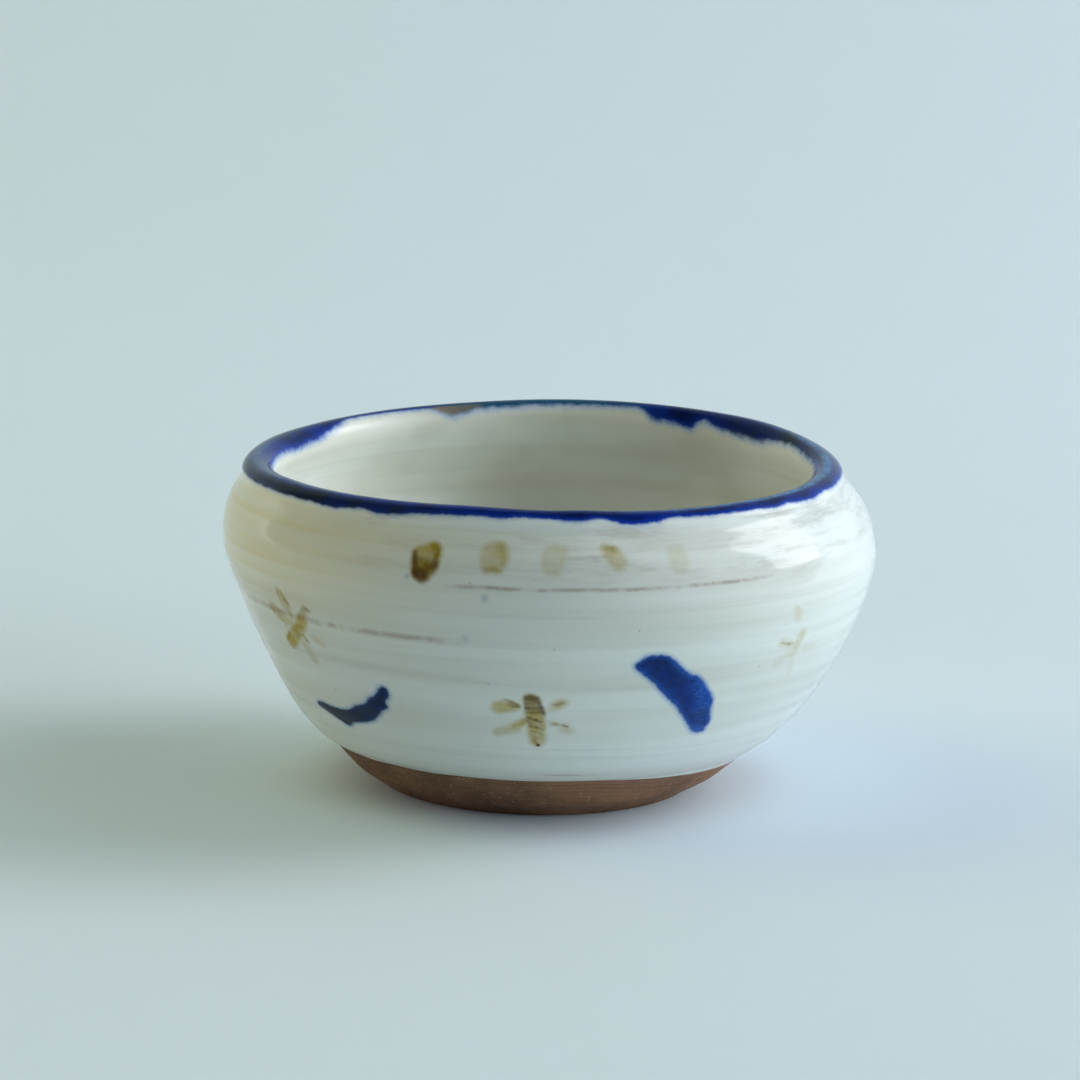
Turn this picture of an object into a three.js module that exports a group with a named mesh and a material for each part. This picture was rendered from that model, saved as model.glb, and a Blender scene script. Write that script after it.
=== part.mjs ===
// Shallow dish: a small squat bowl, thrown by hand in brown stoneware. A white
// coat covers it inside and out, a blue band runs over the lip, and iron and
// cobalt marks are brushed round the wall. The turned foot is bare clay.
import * as THREE from "three";

// Section of the finished bowl, over its coats, in millimetres
const bowlHeight = 50.5; // table to the crest of the lip
const bellyRadius = 50; // the widest place
const shoulderHeight = 13.3; // from there up to the crest of the lip
const bellyRoundBelow = 4.5; // how far the wall stays upright below the belly
const bellyRoundAbove = 8; // and above it
const lipInset = 6.5; // how much nearer the axis the crest of the lip is
const lipHalfWidth = 2.6;
const lipRise = 2.2; // height of the rounded lip
const neckLength = 1.8; // upright stretch under the lip, outside
const coatEdgeRadius = 34.6; // where the white coat ends above the foot
const coatEdgeHeight = 8.1;
const coatEdgeSlope = 32; // degrees that the wall rises from the table there
const coatEdgeRound = 8.5; // how far it keeps that slope

// The turned foot and the floor
const footRadius = 24; // outer edge of the flat ring that it stands on
const footBevelWidth = 1;
const footBevelHeight = 0.8;
const turnedLineRadius = 28.5; // the line between the two cuts of the turning tool
const turnedLineHeight = 2.9;
const footRingWidth = 5.5;
const recessDepth = 2.6; // hollow under the foot
const recessSlope = 0.6; // how far the recess wall leans in
const recessFillet = 0.6; // where that wall meets the roof of the recess
const floorThickness = 4.5; // clay between the recess and the coat inside

// The inside
const wallThickness = 4.7; // at the belly, over both coats
const innerBellyDrop = 1.2; // the inside is widest a little lower
const innerNeck = 2.8; // upright stretch under the lip, inside
const innerShoulder = 6; // how far the wall stays upright above the inner belly
const innerBellyRound = 16; // and below it
const floorRadius = 30; // how far out the floor stays flat

// Coats and pigment
const coatThickness = 0.5;
const bandOutside = 2.1; // from the crest of the lip to the band's outer edge
const bandInside = 2.7; // and to its inner edge
const bandWaver = 0.45; // how far these edges wander
const markThickness = 0.25;
const markSeat = 0.1; // clearance that keeps a mark off the facets of the coat

// What the hand leaves: the belly sits off the foot, and the lip isn't level
const bellyShift = 2;
const lipRiseRight = 0.47;
const lipRiseBack = 0.51;
const lipWaveAcross = -0.38;
const lipWaveDiagonal = 0.34;

// Fineness of the mesh
const segments = 60;
const wallSteps = 10;
const bandSteps = 6;
const insideSteps = 9;
const dabSides = 12;
const strokeSteps = 8;

// Brushed marks. Angles run from the front to the right, in degrees. The rise is
// a share of the way up the wall from the coat's edge to the crest of the lip,
// and a turn leans the upper end to the right.
const dotWidth = 5; // of the biggest dot, which the others are shares of
const dotLength = 5.6;
const dots = [
  { angle: -20.5, rise: 0.806, wide: 1, long: 1 },
  { angle: -8.5, rise: 0.83, wide: 0.86, long: 0.875 },
  { angle: 1.8, rise: 0.828, wide: 0.82, long: 0.82 },
  { angle: 12, rise: 0.835, wide: 0.8, long: 0.72 },
  { angle: 23.4, rise: 0.83, wide: 0.82, long: 0.86 },
];
const bees = [
  { angle: -2.5, rise: 0.292, turn: -8 },
  { angle: 48.5, rise: 0.495, turn: 42 },
  { angle: 112, rise: 0.317, turn: -14 },
  { angle: 176, rise: 0.495, turn: 36 },
  { angle: -118, rise: 0.306, turn: -10 },
  { angle: -51.5, rise: 0.517, turn: 48 },
];
const beeLength = 10;
const beeWidth = 3;
const wingLength = 4.3;
const wingWidth = 2.2;
const wingGap = 0.4; // clear space between a wing and the body
const foreWingPlace = 2.7; // above the middle of the body
const hindWingPlace = -1.5;
const wingLift = 20; // degrees that the fore wings rise and the hind wings droop
const wingTaper = 0.3; // how much fuller a wing is at its outer end

// The path of a stroke is given in shares of its length, across and up. It is
// fullest a share of the way along, and its width where the brush starts and
// where it ends are shares of its full width.
const broadLength = 19;
const broadWidth = 4.9;
const crescentLength = 17.2;
const crescentWidth = 3.8;
const beePath = { from: [0, 0.5], bend: [0, 0], to: [0, -0.5], starts: 0.45, fullest: 0.5, ends: 0.4 };
const broadPath = {
  from: [-0.36, 0.33], bend: [0.14, 0.18], to: [0.36, -0.38], starts: 0.35, fullest: 0.6, ends: 0.65,
};
const crescentPath = {
  from: [-0.55, -0.04], bend: [-0.04, -0.33], to: [0.41, 0.26], starts: 0.06, fullest: 0.75, ends: 0.7,
};
const strokes = [
  { angle: 24, rise: 0.385, shape: "broad" },
  { angle: 84, rise: 0.34, turn: 75, shape: "broad" },
  { angle: 143, rise: 0.352, turn: -15, shape: "crescent" },
  { angle: 206, rise: 0.295, turn: 12, shape: "broad" },
  { angle: 272, rise: 0.374, turn: 20, shape: "crescent" },
  { angle: -42, rise: 0.251, shape: "crescent" },
];

const stoneware = new THREE.MeshStandardMaterial({ color: 0x7a5a42, roughness: 0.9, metalness: 0 });
const whiteCoat = new THREE.MeshStandardMaterial({ color: 0xcfd6d1, roughness: 0.25, metalness: 0 });
const creamCoat = new THREE.MeshStandardMaterial({ color: 0xc6c0ac, roughness: 0.3, metalness: 0 });
const blueGlaze = new THREE.MeshStandardMaterial({ color: 0x24316f, roughness: 0.2, metalness: 0 });
const ironPigment = new THREE.MeshStandardMaterial({ color: 0x8d7637, roughness: 0.35, metalness: 0 });
const cobaltPigment = new THREE.MeshStandardMaterial({ color: 0x1c3678, roughness: 0.3, metalness: 0 });

const radians = THREE.MathUtils.degToRad;
const spot = (radius, height) => new THREE.Vector2(radius, height);

// The section of the finished surface, from the coat's edge above the foot, up
// the wall, over the lip and down to the middle of the floor
const bellyHeight = bowlHeight - shoulderHeight;
const lipRadius = bellyRadius - lipInset;
const lipHeight = bowlHeight - lipRise;
const innerBellyRadius = bellyRadius - wallThickness;
const innerBellyHeight = bellyHeight - innerBellyDrop;
const floorHeight = recessDepth + floorThickness + coatThickness;
const coatEdge = spot(coatEdgeRadius, coatEdgeHeight);
const coatEdgeHandle = spot(Math.cos(radians(coatEdgeSlope)), Math.sin(radians(coatEdgeSlope)))
  .multiplyScalar(coatEdgeRound)
  .add(coatEdge);
const belly = spot(bellyRadius, bellyHeight);
const neck = spot(lipRadius + lipHalfWidth, lipHeight);
const innerNeckEnd = spot(lipRadius - lipHalfWidth, lipHeight);
const innerBelly = spot(innerBellyRadius, innerBellyHeight);

const lowerWall = new THREE.CubicBezierCurve(
  coatEdge, coatEdgeHandle, spot(bellyRadius, bellyHeight - bellyRoundBelow), belly);
const shoulder = new THREE.CubicBezierCurve(
  belly, spot(bellyRadius, bellyHeight + bellyRoundAbove), spot(neck.x, neck.y - neckLength), neck);
const lip = new THREE.EllipseCurve(lipRadius, lipHeight, lipHalfWidth, lipRise, 0, Math.PI, false, 0);
const innerShoulderWall = new THREE.CubicBezierCurve(
  innerNeckEnd, spot(innerNeckEnd.x, innerNeckEnd.y - innerNeck),
  spot(innerBellyRadius, innerBellyHeight + innerShoulder), innerBelly);
const innerBowl = new THREE.CubicBezierCurve(
  innerBelly, spot(innerBellyRadius, innerBellyHeight - innerBellyRound),
  spot(floorRadius, floorHeight), spot(0, floorHeight));

const section = new THREE.CurvePath();
[lowerWall, shoulder, lip, innerShoulderWall, innerBowl].forEach((curve) => section.add(curve));
const sectionLength = section.getLength();
const wallLength = lowerWall.getLength() + shoulder.getLength();
const crest = wallLength + lip.getLength() / 2;

// The point of the section a given way along it, set in by a depth under the
// finished surface. A negative depth stands proud of it.
function sectionPoint(along, depth) {
  const share = THREE.MathUtils.clamp(along / sectionLength, 0, 1);
  const point = section.getPointAt(share);
  const tangent = section.getTangentAt(share);
  return spot(point.x - tangent.y * depth, point.y + tangent.x * depth);
}

// Spins a point of the section to an angle from the front, towards the right,
// and gives it the lean and the waver that the hand left in the clay.
function thrown(point, angle) {
  const turn = angle - Math.PI / 2;
  const rise = THREE.MathUtils.clamp(point.y / bowlHeight, 0, 1);
  const shift = bellyShift * (Math.sin(Math.PI * rise) - Math.sin((Math.PI * bellyHeight) / bowlHeight));
  const waver =
    lipRiseRight * Math.cos(turn) +
    lipRiseBack * Math.sin(turn) +
    lipWaveAcross * Math.cos(2 * turn) +
    lipWaveDiagonal * Math.sin(2 * turn);
  return new THREE.Vector3(
    point.x * Math.cos(turn) + shift,
    point.x * Math.sin(turn),
    point.y + waver * rise ** 3);
}

// One ring of points round the bowl, or a single point where it lies on the
// axis. Order says which of two neighbouring rings a diagonal starts from, so
// that two pieces that share two rings share their facets as well.
function ring(order, pointAt) {
  const points = [];
  for (let i = 0; i < segments; i++) {
    const angle = (i / segments) * 2 * Math.PI;
    points.push(thrown(pointAt(angle), angle));
  }
  return { order, points };
}

function pole(order, height) {
  return { order, points: [thrown(spot(0, height), 0)] };
}

// The band's edges wander round the lip, as runny glaze does, in a slow wave
// twice round it and two quicker and smaller ones.
function bandReach(reach, phase) {
  return (angle) =>
    reach +
    bandWaver *
      (0.5 * Math.sin(2 * angle + phase) +
        0.3 * Math.sin(5 * angle + 2 * phase) +
        0.2 * Math.sin(9 * angle));
}
const outerReach = bandReach(bandOutside, 0.9);
const innerReach = bandReach(bandInside, 2.3);

// Stations along the section: the wall, the band and the inside, in turn
const stations = [];
for (let i = 0; i < wallSteps; i++) {
  stations.push((angle) => (i / wallSteps) * (crest - outerReach(angle)));
}
for (let i = 0; i < bandSteps; i++) {
  stations.push((angle) => {
    const start = crest - outerReach(angle);
    return start + (i / bandSteps) * (outerReach(angle) + innerReach(angle));
  });
}
for (let i = 0; i < insideSteps; i++) {
  stations.push((angle) => {
    const start = crest + innerReach(angle);
    return start + (i / insideSteps) * (sectionLength - start);
  });
}
const bandStart = wallSteps;
const bandEnd = wallSteps + bandSteps;

// The rings of the finished surface and of the clay under it
const finished = stations.map((along, i) => ring(2 * i + 1, (angle) => sectionPoint(along(angle), 0)));
const clay = stations.map((along, i) => ring(2 * i, (angle) => sectionPoint(along(angle), coatThickness)));
finished.push(pole(2 * stations.length + 1, floorHeight));
clay.push(pole(2 * stations.length, floorHeight - coatThickness));

// Joins neighbouring rings into one closed surface. A list that doesn't start
// and end on the axis closes on itself.
function closedBody(rings) {
  const positions = [];
  const starts = rings.map(({ points }) => {
    const start = positions.length / 3;
    points.forEach((p) => positions.push(p.x, p.y, p.z));
    return start;
  });
  const index = [];
  const onAxis = rings[0].points.length === 1;
  const joins = onAxis ? rings.length - 1 : rings.length;
  for (let k = 0; k < joins; k++) {
    const next = (k + 1) % rings.length;
    const [a, b] = [starts[k], starts[next]];
    for (let i = 0; i < segments; i++) {
      const j = (i + 1) % segments;
      if (rings[k].points.length === 1) {
        index.push(a, b + i, b + j);
      } else if (rings[next].points.length === 1) {
        index.push(a + i, b, a + j);
      } else if (rings[k].order < rings[next].order) {
        index.push(a + i, b + j, a + j, a + i, b + i, b + j);
      } else {
        index.push(a + i, b + i, a + j, a + j, b + i, b + j);
      }
    }
  }
  return geometry(positions, index);
}

function geometry(positions, index) {
  const made = new THREE.BufferGeometry();
  made.setAttribute("position", new THREE.Float32BufferAttribute(positions, 3));
  made.setIndex(index);
  made.computeVertexNormals();
  return made;
}

const dish = new THREE.Group();

function addPiece(name, made, material) {
  const mesh = new THREE.Mesh(made, material);
  mesh.name = name;
  dish.add(mesh);
}

// The clay: the wall under the coats, the two turned cuts of the foot, the flat
// ring it stands on and the recess inside that ring
const recessRadius = footRadius - footRingWidth;
const footOutline = [
  spot(turnedLineRadius, turnedLineHeight),
  spot(footRadius + footBevelWidth, footBevelHeight),
  spot(footRadius, 0),
  spot(recessRadius, 0),
  spot(recessRadius - recessSlope, recessDepth - recessFillet),
  spot(recessRadius - recessSlope - recessFillet, recessDepth),
];
const foot = footOutline.map((point, i) => ring(-1 - i, () => point));
addPiece(
  "clay_body",
  closedBody([...clay.toReversed(), ...foot, pole(-1 - footOutline.length, recessDepth)]),
  stoneware);

// The coats lie on the clay and meet each other along the band's edges.
function coat(from, to) {
  return closedBody([...clay.slice(from, to), ...finished.slice(from, to).toReversed()]);
}
addPiece("outer_white_coat", coat(0, bandStart + 1), whiteCoat);
addPiece("lip_blue_band", coat(bandStart, bandEnd + 1), blueGlaze);
addPiece(
  "inner_cream_coat",
  closedBody([...finished.slice(bandEnd).toReversed(), ...clay.slice(bandEnd)]),
  creamCoat);

// A mark is a flat patch of points, across and up, laid on the wall round its
// own place and given a thickness. Its border runs round it anticlockwise.
function mark({ angle, rise, turn = 0 }, { points, faces, border }) {
  const along = rise * crest;
  const radius = sectionPoint(along, 0).x;
  const lean = -radians(turn);
  const laid = (lift) =>
    points.map(([across, up]) => {
      const right = across * Math.cos(lean) - up * Math.sin(lean);
      const higher = across * Math.sin(lean) + up * Math.cos(lean);
      return thrown(sectionPoint(along + higher, -lift), radians(angle) + right / radius);
    });
  const positions = [...laid(markSeat), ...laid(markSeat + markThickness)].flatMap((p) => [p.x, p.y, p.z]);
  const upper = points.length;
  const index = [];
  faces.forEach(([a, b, c]) => index.push(a, c, b, a + upper, b + upper, c + upper));
  border.forEach((a, i) => {
    const b = border[(i + 1) % border.length];
    index.push(a, b, b + upper, a, b + upper, a + upper);
  });
  return geometry(positions, index);
}

// An oval touch of the brush, drawn out to one side by its taper
function dab(width, length, taper = 0, middle = [0, 0], tilt = 0) {
  const points = [middle];
  const faces = [];
  const border = [];
  for (let i = 0; i < dabSides; i++) {
    const turn = (i / dabSides) * 2 * Math.PI;
    const across = (width / 2) * Math.cos(turn);
    const up = (length / 2) * Math.sin(turn) * (1 - taper * Math.cos(turn));
    points.push([
      middle[0] + across * Math.cos(tilt) - up * Math.sin(tilt),
      middle[1] + across * Math.sin(tilt) + up * Math.cos(tilt),
    ]);
    faces.push([0, i + 1, ((i + 1) % dabSides) + 1]);
    border.push(i + 1);
  }
  return { points, faces, border };
}

// How full a stroke is a share of the way along it
function fullness(share, { starts, fullest, ends }) {
  const rising = share < fullest;
  const edge = rising ? starts : ends;
  const toEdge = rising ? 1 - share / fullest : (share - fullest) / (1 - fullest);
  return THREE.MathUtils.lerp(edge, 1, Math.cos((Math.PI / 2) * toEdge));
}

// A pull of the brush along a bend
function stroke(path, length, width) {
  const bend = [path.from, path.bend, path.to].map((place) => spot(...place).multiplyScalar(length));
  const line = new THREE.QuadraticBezierCurve(...bend);
  const points = [];
  const faces = [];
  for (let i = 0; i <= strokeSteps; i++) {
    const share = i / strokeSteps;
    const middle = line.getPoint(share);
    const way = line.getTangent(share);
    const half = (width / 2) * fullness(share, path);
    [1, 0, -1].forEach((side) =>
      points.push([middle.x - way.y * half * side, middle.y + way.x * half * side]));
  }
  for (let i = 0; i < strokeSteps; i++) {
    [0, 1].forEach((side) => {
      const a = 3 * i + side;
      faces.push([a, a + 1, a + 4], [a, a + 4, a + 3]);
    });
  }
  const border = [];
  for (let i = 0; i <= strokeSteps; i++) border.push(3 * i + 2);
  border.push(3 * strokeSteps + 1);
  for (let i = strokeSteps; i >= 0; i--) border.push(3 * i);
  border.push(1);
  return { points, faces, border };
}

dots.forEach((dot, i) => {
  const touch = dab(dotWidth * dot.wide, dotLength * dot.long);
  addPiece(`iron_dot_${i + 1}`, mark(dot, touch), ironPigment);
});

// Each bee has a body and two pairs of wings.
const wingReach = beeWidth / 2 + wingGap + wingLength / 2;
bees.forEach((place, i) => {
  const name = `bee_${i + 1}`;
  addPiece(`${name}_body`, mark(place, stroke(beePath, beeLength, beeWidth)), ironPigment);
  [["right", 1], ["left", -1]].forEach(([side, sign]) => {
    [["fore", foreWingPlace, wingLift], ["hind", hindWingPlace, -wingLift]].forEach(([pair, up, lift]) => {
      const tilt = sign * radians(lift);
      const wing = dab(wingLength, wingWidth, -wingTaper * sign, [sign * wingReach, up], tilt);
      addPiece(`${name}_${pair}_wing_${side}`, mark(place, wing), ironPigment);
    });
  });
});

const strokeShapes = {
  broad: stroke(broadPath, broadLength, broadWidth),
  crescent: stroke(crescentPath, crescentLength, crescentWidth),
};
strokes.forEach((place, i) => {
  addPiece(`blue_stroke_${i + 1}`, mark(place, strokeShapes[place.shape]), cobaltPigment);
});

export default dish;
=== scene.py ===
"""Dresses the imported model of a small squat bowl, thrown by hand in brown stoneware.

One section curve, with the lean and the waver that the hand left in it, carries every
piece: the clay, the white coat outside, the blue band over the lip, the cream coat inside
and the brushed marks, which lie on the coat as thin films of glaze.
"""

import logging
import math
from dataclasses import dataclass
from enum import Enum
from typing import Callable, ClassVar, Iterator, NamedTuple

import bpy
import numpy as np
from mathutils import Matrix, Vector


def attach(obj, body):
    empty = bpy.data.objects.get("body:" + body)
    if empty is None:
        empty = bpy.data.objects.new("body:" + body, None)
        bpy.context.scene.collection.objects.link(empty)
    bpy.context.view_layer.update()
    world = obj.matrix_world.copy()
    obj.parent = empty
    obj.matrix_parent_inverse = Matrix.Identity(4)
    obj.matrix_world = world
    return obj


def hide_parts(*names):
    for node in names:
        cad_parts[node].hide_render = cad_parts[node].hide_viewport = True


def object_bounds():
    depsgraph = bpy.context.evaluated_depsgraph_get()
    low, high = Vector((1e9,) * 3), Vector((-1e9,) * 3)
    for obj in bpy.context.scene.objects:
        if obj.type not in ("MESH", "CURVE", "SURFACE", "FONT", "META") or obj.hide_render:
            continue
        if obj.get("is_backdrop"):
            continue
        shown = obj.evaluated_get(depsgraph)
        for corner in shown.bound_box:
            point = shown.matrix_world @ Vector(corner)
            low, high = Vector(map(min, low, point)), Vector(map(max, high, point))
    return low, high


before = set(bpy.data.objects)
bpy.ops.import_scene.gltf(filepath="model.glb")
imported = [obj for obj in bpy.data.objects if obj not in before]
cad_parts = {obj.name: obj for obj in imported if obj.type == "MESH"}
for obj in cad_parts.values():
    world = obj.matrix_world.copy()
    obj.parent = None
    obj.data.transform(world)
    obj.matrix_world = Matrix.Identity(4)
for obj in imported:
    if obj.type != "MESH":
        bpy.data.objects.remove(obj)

CAD_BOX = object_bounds()
LOG = logging.getLogger("shallow_dish")

Array = np.ndarray
Piece = bpy.types.Object
Material = bpy.types.Material
Tone = tuple[float, float, float]
Pair = tuple[float, float]
Pairs = tuple[Pair, ...]
Ink = dict[str, Array]

MM = 0.001
BODY = "root"
TURN = 2.0 * math.pi
EDGE_REACH = 2.0  # how many millimetres inside and outside a mark its edge is measured


class Slot(Enum):
    """The record's material slots."""

    STONEWARE = "stoneware"
    WHITE_COAT = "white_coat"
    CREAM_COAT = "cream_coat"
    BLUE_GLAZE = "blue_glaze"
    IRON = "iron_pigment"
    COBALT = "cobalt_pigment"


Built = tuple[Piece, str, Slot]


def tone(red: int, green: int, blue: int) -> Tone:
    """Turns a colour as a screen shows it, 0 to 255, into linear light."""
    shares = (red / 255, green / 255, blue / 255)
    return tuple(s / 12.92 if s <= 0.04045 else ((s + 0.055) / 1.055) ** 2.4 for s in shares)


def smooth(value: Array | float, low: float, high: float) -> Array:
    """Rises softly from 0 at low to 1 at high."""
    share = np.clip((np.asarray(value, float) - low) / (high - low), 0, 1)
    return share * share * (3 - 2 * share)


def travelled(points: Array) -> Array:
    """How far along a line each of its points lies."""
    return np.concatenate([[0], np.cumsum(np.hypot(*np.diff(points, axis=0).T))])


def along_line(points: Array) -> Array:
    """Which way a line runs at each of its points."""
    way = np.gradient(points, travelled(points), axis=0)
    return way / np.linalg.norm(way, axis=1)[:, None]


def bezier(points: tuple[Pair | Array, ...], steps: int) -> Array:
    """Draws a cubic or quadratic curve.

    Args:
        points: Its three or four control points.
        steps: How many points to return.

    Returns:
        The points of the curve, from its start to its end.
    """
    share = np.linspace(0, 1, steps)[:, None]
    knots = [np.array(p, float)[None, :] + 0 * share for p in points]
    while len(knots) > 1:
        knots = [a + (b - a) * share for a, b in zip(knots, knots[1:])]
    return knots[0]


# The form


@dataclass(frozen=True)
class Section:
    """The section of the finished bowl, over its coats, in millimetres."""

    bowl_height: float = 50.5
    belly_radius: float = 50.0
    shoulder_height: float = 13.3
    belly_round_below: float = 4.5
    belly_round_above: float = 8.0
    lip_inset: float = 6.5
    lip_half_width: float = 2.6
    lip_rise: float = 2.2
    neck_length: float = 1.8
    coat_edge: Pair = (34.6, 8.1)
    coat_edge_slope: float = 32.0
    coat_edge_round: float = 8.5
    wall_thickness: float = 4.7
    inner_belly_drop: float = 1.2
    inner_neck: float = 2.8
    inner_shoulder: float = 6.0
    inner_belly_round: float = 16.0
    floor_radius: float = 30.0
    floor_height: float = 7.6
    foot_line: Pair = (28.5, 2.9)
    run_below: float = 3.0
    run_steps: int = 40
    fineness: int = 900

    @property
    def belly_height(self) -> float:
        """Height of the widest place."""
        return self.bowl_height - self.shoulder_height

    def curve(self) -> tuple[Array, Array, float]:
        """Draws the section.

        Returns:
            The points from a little under the coat's edge over the lip to the middle of the
            floor, how far along each lies from the coat's edge, and where the crest lies.
        """
        slope = math.radians(self.coat_edge_slope)
        wide, belly = self.belly_radius, self.belly_height
        lip_radius, lip_height = wide - self.lip_inset, self.bowl_height - self.lip_rise
        neck, inner_neck = lip_radius + self.lip_half_width, lip_radius - self.lip_half_width
        inside, inner_belly = wide - self.wall_thickness, belly - self.inner_belly_drop
        edge = np.array(self.coat_edge)
        handle = edge + self.coat_edge_round * np.array([math.cos(slope), math.sin(slope)])
        down = np.array(self.foot_line) - edge
        below = edge + down / np.linalg.norm(down) * self.run_below
        pulls = (
            (edge, handle, (wide, belly - self.belly_round_below), (wide, belly)),
            (
                (wide, belly), (wide, belly + self.belly_round_above),
                (neck, lip_height - self.neck_length), (neck, lip_height),
            ),
            (
                (inner_neck, lip_height), (inner_neck, lip_height - self.inner_neck),
                (inside, inner_belly + self.inner_shoulder), (inside, inner_belly),
            ),
            (
                (inside, inner_belly), (inside, inner_belly - self.inner_belly_round),
                (self.floor_radius, self.floor_height), (0, self.floor_height),
            ),
        )
        wall, shoulder, inner_shoulder, floor = (bezier(pull, self.fineness) for pull in pulls)
        turn = np.linspace(0, math.pi, self.fineness)
        lip = [lip_radius + self.lip_half_width * np.cos(turn), lip_height + self.lip_rise * np.sin(turn)]
        parts = (wall, shoulder, np.stack(lip, axis=1), inner_shoulder, floor)
        points = np.concatenate([np.linspace(below, edge, self.run_steps)] + [part[1:] for part in parts])
        along = travelled(points) - self.run_below
        return points, along, float(along[np.argmax(points[:, 1])])


@dataclass(frozen=True)
class Hand:
    """What the hand left in the clay, in millimetres."""

    belly_shift: float = 2.0
    rise_right: float = 0.47
    rise_back: float = 0.51
    wave_across: float = -0.38
    wave_diagonal: float = 0.34
    ring_height: float = 0.02
    ring_spacing: float = 3.1
    dent: float = 0.05
    belly_inset: float = 0.16
    lip_inset: float = 0.07
    front_lift: float = 0.25
    crest: float = 49.34
    crest_calm: Pair = (0.85, 5.0)
    worked_radius: Pair = (1.0, 14.0)
    belly_radius: Pair = (40.0, 48.0)
    lip_bumps: tuple[tuple[float, float, float], ...] = (
        (-13, 0.19, 9), (8, 0.12, 4), (25, -0.15, 10), (-60, 0.12, 9), (128, 0.15, 12), (196, -0.12, 14), (250, 0.1, 10)
    )

    def waver(self, turn: Array) -> Array:
        """How far the lip stands above or below its true height.

        Args:
            turn: Angles from the right, towards the back.

        Returns:
            The height that the lip wins or loses there.
        """
        waver = self.rise_right * np.cos(turn) + self.rise_back * np.sin(turn)
        waver = waver + self.wave_across * np.cos(2 * turn) + self.wave_diagonal * np.sin(2 * turn)
        waver = waver + self.front_lift * np.clip(-np.sin(turn), 0, 1) ** 2
        for place, height, width in self.lip_bumps:
            off = (np.degrees(turn) + 90 - place + 180) % 360 - 180
            waver = waver + height * np.exp(-((off / width) ** 2))
        return waver

    def relief(self, angle: Array, along: Array, radius: Array) -> Array:
        """How far the surface stands off its true section: a spiral of finger rings and slow dents.

        Args:
            angle: Angles from the front, to the right.
            along: Distances along the section.
            radius: Distances from the axis.

        Returns:
            The relief, never above zero, so that the bowl stays inside its box.
        """
        rings = self.ring_height * np.sin(TURN * along / self.ring_spacing + angle + 0.6 * np.sin(angle + 0.7))
        dents = 0.5 * self.dent * (np.sin(3 * angle + 0.09 * along) + np.sin(2 * angle - 0.13 * along + 2.0))
        calm, reach = self.crest_calm
        worked = smooth(radius, *self.worked_radius) * (1 - calm * np.exp(-(((along - self.crest) / reach) ** 2)))
        inset = self.lip_inset + (self.belly_inset - self.lip_inset) * smooth(radius, *self.belly_radius)
        return (rings + dents) * worked - inset


class Form:
    """The thrown surface, which places every piece of the bowl."""

    probe: float = 0.02

    def __init__(self, section: Section, hand: Hand) -> None:
        """Draws the section once, for all pieces.

        Args:
            section: The section's sizes.
            hand: What the hand left in the clay.
        """
        self.section, self.hand = section, hand
        self.points, self.along, self.crest = section.curve()
        self.length = float(self.along[-1])
        self.tangents = np.gradient(self.points, self.along, axis=0)
        self.tangents /= np.linalg.norm(self.tangents, axis=1)[:, None]

    def spin(self, radius: Array, height: Array, angle: Array) -> Array:
        """Turns points of the section round the axis, with the lean and the waver.

        Args:
            radius: Distances from the axis.
            height: Heights above the table.
            angle: Angles from the front, to the right.

        Returns:
            The places, in millimetres, with x, y and z last.
        """
        turn = angle - math.pi / 2
        rise = np.clip(height / self.section.bowl_height, 0, 1)
        foot = math.sin(math.pi * self.section.belly_height / self.section.bowl_height)
        shift = self.hand.belly_shift * (np.sin(math.pi * rise) - foot)
        raised = height + self.hand.waver(turn) * rise**3
        return np.stack([radius * np.cos(turn) + shift, radius * np.sin(turn), raised], axis=-1)

    def place(self, angle: Array, along: Array, depth: Array | float = 0.0) -> Array:
        """Finds places on the thrown surface, or a depth under it.

        Args:
            angle: Angles from the front, to the right.
            along: Distances along the section.
            depth: How far under the surface. A negative depth stands proud of it.

        Returns:
            The places, in millimetres.
        """
        angle, along, depth = np.broadcast_arrays(*(np.asarray(v, float) for v in (angle, along, depth)))
        radius, height, across, up = (
            np.interp(along, self.along, column) for column in (*self.points.T, *self.tangents.T)
        )
        under = depth - self.hand.relief(angle, along, radius)
        return self.spin(radius - up * under, height + across * under, angle)

    def normal(self, angle: Array, along: Array) -> Array:
        """Finds which way the thrown surface faces, from places a little to each side.

        Args:
            angle: Angles from the front, to the right.
            along: Distances along the section.

        Returns:
            The directions, each of length 1.
        """
        aside = self.probe / 20
        sideways = self.place(angle + aside, along) - self.place(angle - aside, along)
        onwards = self.place(angle, along + self.probe) - self.place(angle, along - self.probe)
        facing = np.cross(sideways, onwards)
        size = np.linalg.norm(facing, axis=-1, keepdims=True)
        return np.where(size > 1e-9, facing / np.maximum(size, 1e-9), np.array([0.0, 0.0, 1.0]))


# Meshes


class Ring(NamedTuple):
    """One ring of a turned mesh, or a single point of it on the axis."""

    points: Array
    normals: Array | None
    values: dict[str, Array]


def make_mesh(
    name: str, points: Array, faces: list[tuple[int, ...]], normals: Array | None, values: dict[str, Array]
) -> Piece:
    """Makes one closed mesh object, in metres.

    Args:
        name: The piece's name.
        points: Its vertices in millimetres.
        faces: The vertices of each face.
        normals: Which way the surface faces at each vertex, or None to let the faces say.
        values: What its material reads at each vertex.

    Returns:
        The object, in the scene.
    """
    mesh = bpy.data.meshes.new(name)
    mesh.from_pydata((points * MM).tolist(), [], faces)
    mesh.update()
    mesh.shade_smooth()
    for key, numbers in values.items():
        layer = mesh.attributes.new(key, "FLOAT", "POINT")
        layer.data.foreach_set("value", np.asarray(numbers, np.float32))
    if normals is not None:
        mesh.normals_split_custom_set_from_vertices(normals.tolist())
    return put(name, mesh)


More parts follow.
